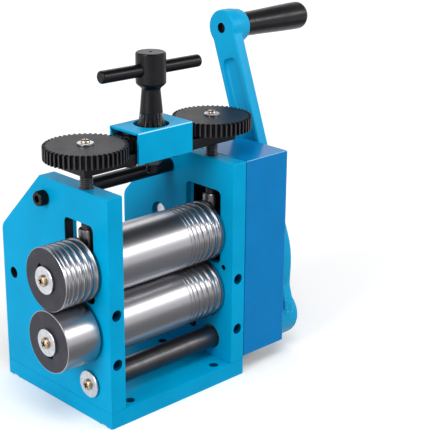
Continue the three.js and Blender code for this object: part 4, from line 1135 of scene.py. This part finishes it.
def make_spindle(centre):
    flutes = 16
    spindle = turned("z", centre, [
        (130.6, 2.5), (131, 2.9), (140.7, 2.9), (140.7, 4), (147.3, 4), (147.3, 8.1),
        (157, 8.1), (158.2, 7.6), (159.4, 7.1), (160.6, 6.75), (162, 6.5), (164, 6.3),
        (168, 5.95), (172, 5.6), (177, 5.12), (177.8, 5.4), (178.4, 6.0), (179.2, 6.9),
        (180.0, 7.8), (180.5, 8.1), (181, 8.2), (196.2, 8.2), (196.8, 8.0), (197.2, 7.5),
    ], 128)
    tool = block((5.5, -0.6, 146), (9.5, 0.6, 172))
    spread_slot(tool, 2.6, 9.5)
    choose(tool, "VERT", lambda vertex: vertex.co.x / MM < 6 and vertex.co.z / MM > 150)
    bpy.ops.transform.translate(value=(0.4 * MM, 0, -8 * MM))
    leave_edit()
    cut(spindle, shift(ring_of_slots(tool, flutes, math.pi / flutes), centre))
    bar_hole = turn(rod("x", (0, 0, 0), 7.1, -12, 12, 64), "z", (0, 0, 0), T_BAR_TURN)
    centre_mark = turned("z", centre, [(196.4, 0.3), (197.3, 1.3)], 48)
    cut(spindle, shift(bar_hole, (0, ROLLER_Y, T_BAR_Z)), centre_mark)
    soften(spindle, 0.12, 2, 40)
    complete(spindle, "adjust_spindle")

    def faces_sideways(place, normal):
        reach = Vector((place.x, place.y - ROLLER_Y))
        if not reach.length:
            return False
        return abs(Vector((normal.x, normal.y)).dot(reach.normalized())) < 0.6

    # Painted shade on the faces deep in the flutes.
    finish_faces(spindle, painted_recess_shade, lambda place, normal: (
        147.4 < place.z < 164 and math.hypot(place.x, place.y - ROLLER_Y) < 6.2
    ))
    # Painted highlight: bright steel on the flutes' side walls gives the light slivers.
    finish_faces(spindle, painted_flute_highlight, lambda place, normal: (
        150 < place.z < 166 and abs(normal.z) < 0.05 and faces_sideways(place, normal)
    ))


def make_handle():
    centre = (0, ROLLER_Y, 0)
    make_spindle(centre)
    half = [(32.2, 3.45), (32.7, 3.4), (33.1, 3.2), (33.4, 2.8), (33.5, 2.3)]
    outline = [(-along, radius) for along, radius in reversed(half)] + half
    bar = turn(turned("x", (0, 0, 0), outline, 96), "z", (0, 0, 0), T_BAR_TURN)
    complete(shift(bar, (0, ROLLER_Y, T_BAR_Z)), "t_bar")
    nut = turned("z", centre, [(135.7, 4.9), (136.1, 5.75), (139.4, 5.75), (139.7, 5.2)], 6)
    weld(nut, turned("z", centre, [(139.5, 6.3), (139.7, 6.5), (140.5, 6.5), (140.7, 6.3)], 72))
    cut(nut, rod("z", centre, 6, 134, 142, 48))
    complete(nut, "spindle_nut")


make_base()
make_side_plate("left", -1)
make_side_plate("right", 1)
make_tie_rod()
make_gear_case()
make_roller("lower", LOWER_Z, -99, 76.2)
make_roller("upper", UPPER_Z, 47, 65)
make_side_roller("lower", LOWER_Z, -99, False)
make_side_roller("upper", UPPER_Z, 47, True)
for fastened, fastened_centre, fastened_face in (
    ("lower_side", (0, ROLLER_Y, LOWER_Z), SIDE_ROLLER_OUTER),
    ("upper_side", (0, ROLLER_Y, UPPER_Z), SIDE_ROLLER_OUTER),
    ("shaft", SHAFT, SHAFT_END),
):
    make_end_fastening(
        fastened_centre, fastened_face, f"{fastened}_washer", f"{fastened}_screw"
    )
make_drive_shaft()
for side_name, side_sign in (("left", -1), ("right", 1)):
    make_block(side_name, side_sign)
    make_spring(side_name, side_sign)
make_crank()
make_grip()
make_link_plate()
make_bracket()
for side_name, side_sign in (("left", -1), ("right", 1)):
    screw_centre = (side_sign * PLATE_MIDDLE, ROLLER_Y, 0)
    idler_centre = (side_sign * IDLER_X, ROLLER_Y, 0)
    make_adjusting_gear(side_name, screw_centre)
    make_idler(side_name, idler_centre)
    make_pressure_screw(side_name, screw_centre)
    make_idler_pin(side_name, idler_centre)
make_handle()


# ---- Stage, light and camera ----

def seen_directly(tree):
    """1 where a ray comes from the camera, a reflection or through glass, and 0 for plain light."""
    paths = tree.nodes.new("ShaderNodeLightPath")
    total = paths.outputs["Is Camera Ray"]
    for kind in ("Is Glossy Ray", "Is Transmission Ray"):
        larger = tree.nodes.new("ShaderNodeMath")
        larger.operation = "MAXIMUM"
        tree.links.new(total, larger.inputs[0])
        tree.links.new(paths.outputs[kind], larger.inputs[1])
        total = larger.outputs[0]
    return total


def make_floor():
    """A pale floor that glows more with distance, and keeps the mill's shadow."""
    drop_selection()
    bpy.ops.mesh.primitive_plane_add(size=8, location=(0, 0, 0))
    floor = bpy.context.object
    floor.name = "floor"
    material, tree, shader = new_finish("pale floor")
    shader.inputs["Roughness"].default_value = 0.9
    shader.inputs["Specular IOR Level"].default_value = 0.0
    grain = pattern(tree, 6, detail=3)
    shown = seen_directly(tree)
    pale = tree.nodes.new("ShaderNodeMix")
    pale.data_type = "RGBA"
    pale.inputs["A"].default_value = (0.5, 0.5, 0.5, 1)
    tree.links.new(shown, pale.inputs["Factor"])
    tree.links.new(ramp(tree, grain.outputs["Fac"], [(0.3, 0.94), (0.7, 0.96)]), pale.inputs["B"])
    tree.links.new(pale.outputs["Result"], shader.inputs["Base Color"])
    place = tree.nodes.new("ShaderNodeTexCoord")
    reach = tree.nodes.new("ShaderNodeVectorMath")
    reach.operation = "LENGTH"
    tree.links.new(place.outputs["Object"], reach.inputs[0])
    lift = tree.nodes.new("ShaderNodeMapRange")
    lift.inputs["From Min"].default_value = 0.15
    lift.inputs["From Max"].default_value = 1.6
    lift.inputs["To Min"].default_value = 0.1
    lift.inputs["To Max"].default_value = 0.6
    tree.links.new(reach.outputs["Value"], lift.inputs["Value"])
    glow = tree.nodes.new("ShaderNodeMath")
    glow.operation = "MULTIPLY"
    tree.links.new(shown, glow.inputs[0])
    tree.links.new(lift.outputs["Result"], glow.inputs[1])
    shader.inputs["Emission Color"].default_value = (1, 1, 1, 1)
    tree.links.new(glow.outputs[0], shader.inputs["Emission Strength"])
    floor.data.materials.append(material)


def make_studio_air():
    """White where it is seen directly or reflected, and dimmer as plain light."""
    world = bpy.data.worlds.new("pale studio")
    bpy.context.scene.world = world
    world.use_nodes = True
    tree = world.node_tree
    background = tree.nodes["Background"]
    level = tree.nodes.new("ShaderNodeMapRange")
    level.inputs["To Min"].default_value = 0.34
    level.inputs["To Max"].default_value = 1.0
    tree.links.new(seen_directly(tree), level.inputs["Value"])
    background.inputs["Color"].default_value = (1, 1, 1, 1)
    tree.links.new(level.outputs["Result"], background.inputs["Strength"])


def dark_card(name, low, high, grey):
    """A dark card round the set, seen only in reflections, that gives bare metal dark bands."""
    card = block(low, high)
    card.name = name
    material, _, shader = new_finish("black card")
    shader.inputs["Base Color"].default_value = (grey, grey, grey, 1)
    shader.inputs["Roughness"].default_value = 1.0
    shader.inputs["Specular IOR Level"].default_value = 0.0
    card.data.materials.append(material)
    card.visible_camera = False
    card.visible_diffuse = False
    card.visible_shadow = False
    return card


def area_lamp(name, place, aim_height, size, watts):
    """A softbox at a place in metres, aimed at a height above the origin."""
    data = bpy.data.lights.new(name, "AREA")
    data.shape = "RECTANGLE"
    data.size, data.size_y = size
    data.energy = watts
    lamp = bpy.data.objects.new(name, data)
    bpy.context.scene.collection.objects.link(lamp)
    lamp.location = place
    look = Vector((0, 0, aim_height)) - Vector(place)
    lamp.rotation_euler = look.to_track_quat("-Z", "Y").to_euler()


def make_camera():
    data = bpy.data.cameras.new("camera")
    data.sensor_width = 36
    data.lens = 101.7
    data.clip_start = 0.01
    camera = bpy.data.objects.new("camera", data)
    bpy.context.scene.collection.objects.link(camera)
    place = Vector((-414.6, -504.9, 328.3)) * MM
    aim = Vector((72.24, 0, 82.19)) * MM
    look = (aim - place).to_track_quat("-Z", "Y")
    camera.location = place
    camera.rotation_euler = (look @ Quaternion(Z, math.radians(0.47))).to_euler()
    bpy.context.scene.camera = camera


make_floor()
make_studio_air()
dark_card("ceiling card", (-1500, -1500, 1400), (1500, 1500, 1402), 0.01)
dark_card("table card", (-220, -480, 1), (620, -56, 2), 0.26)
camera_card = dark_card("cloth round the camera", (-1300, -1, -400), (1300, 1, 400), 0.01)
camera_card.location = (-1.2, -1.25, 0.42)
camera_card.rotation_euler = (0, 0, math.radians(-43))
area_lamp("key softbox", (-0.4, -0.6, 1.25), 0.08, (0.6, 0.6), 7)
area_lamp("strip softbox", (0.62, -0.9, 0.62), 0.09, (0.95, 0.24), 6.5)
area_lamp("left softbox", (-1.25, -0.15, 0.55), 0.08, (0.6, 0.7), 12)
area_lamp("rear softbox", (0.6, 0.9, 1.0), 0.1, (0.8, 0.5), 3)
make_camera()
bpy.context.scene.view_settings.view_transform = "Standard"
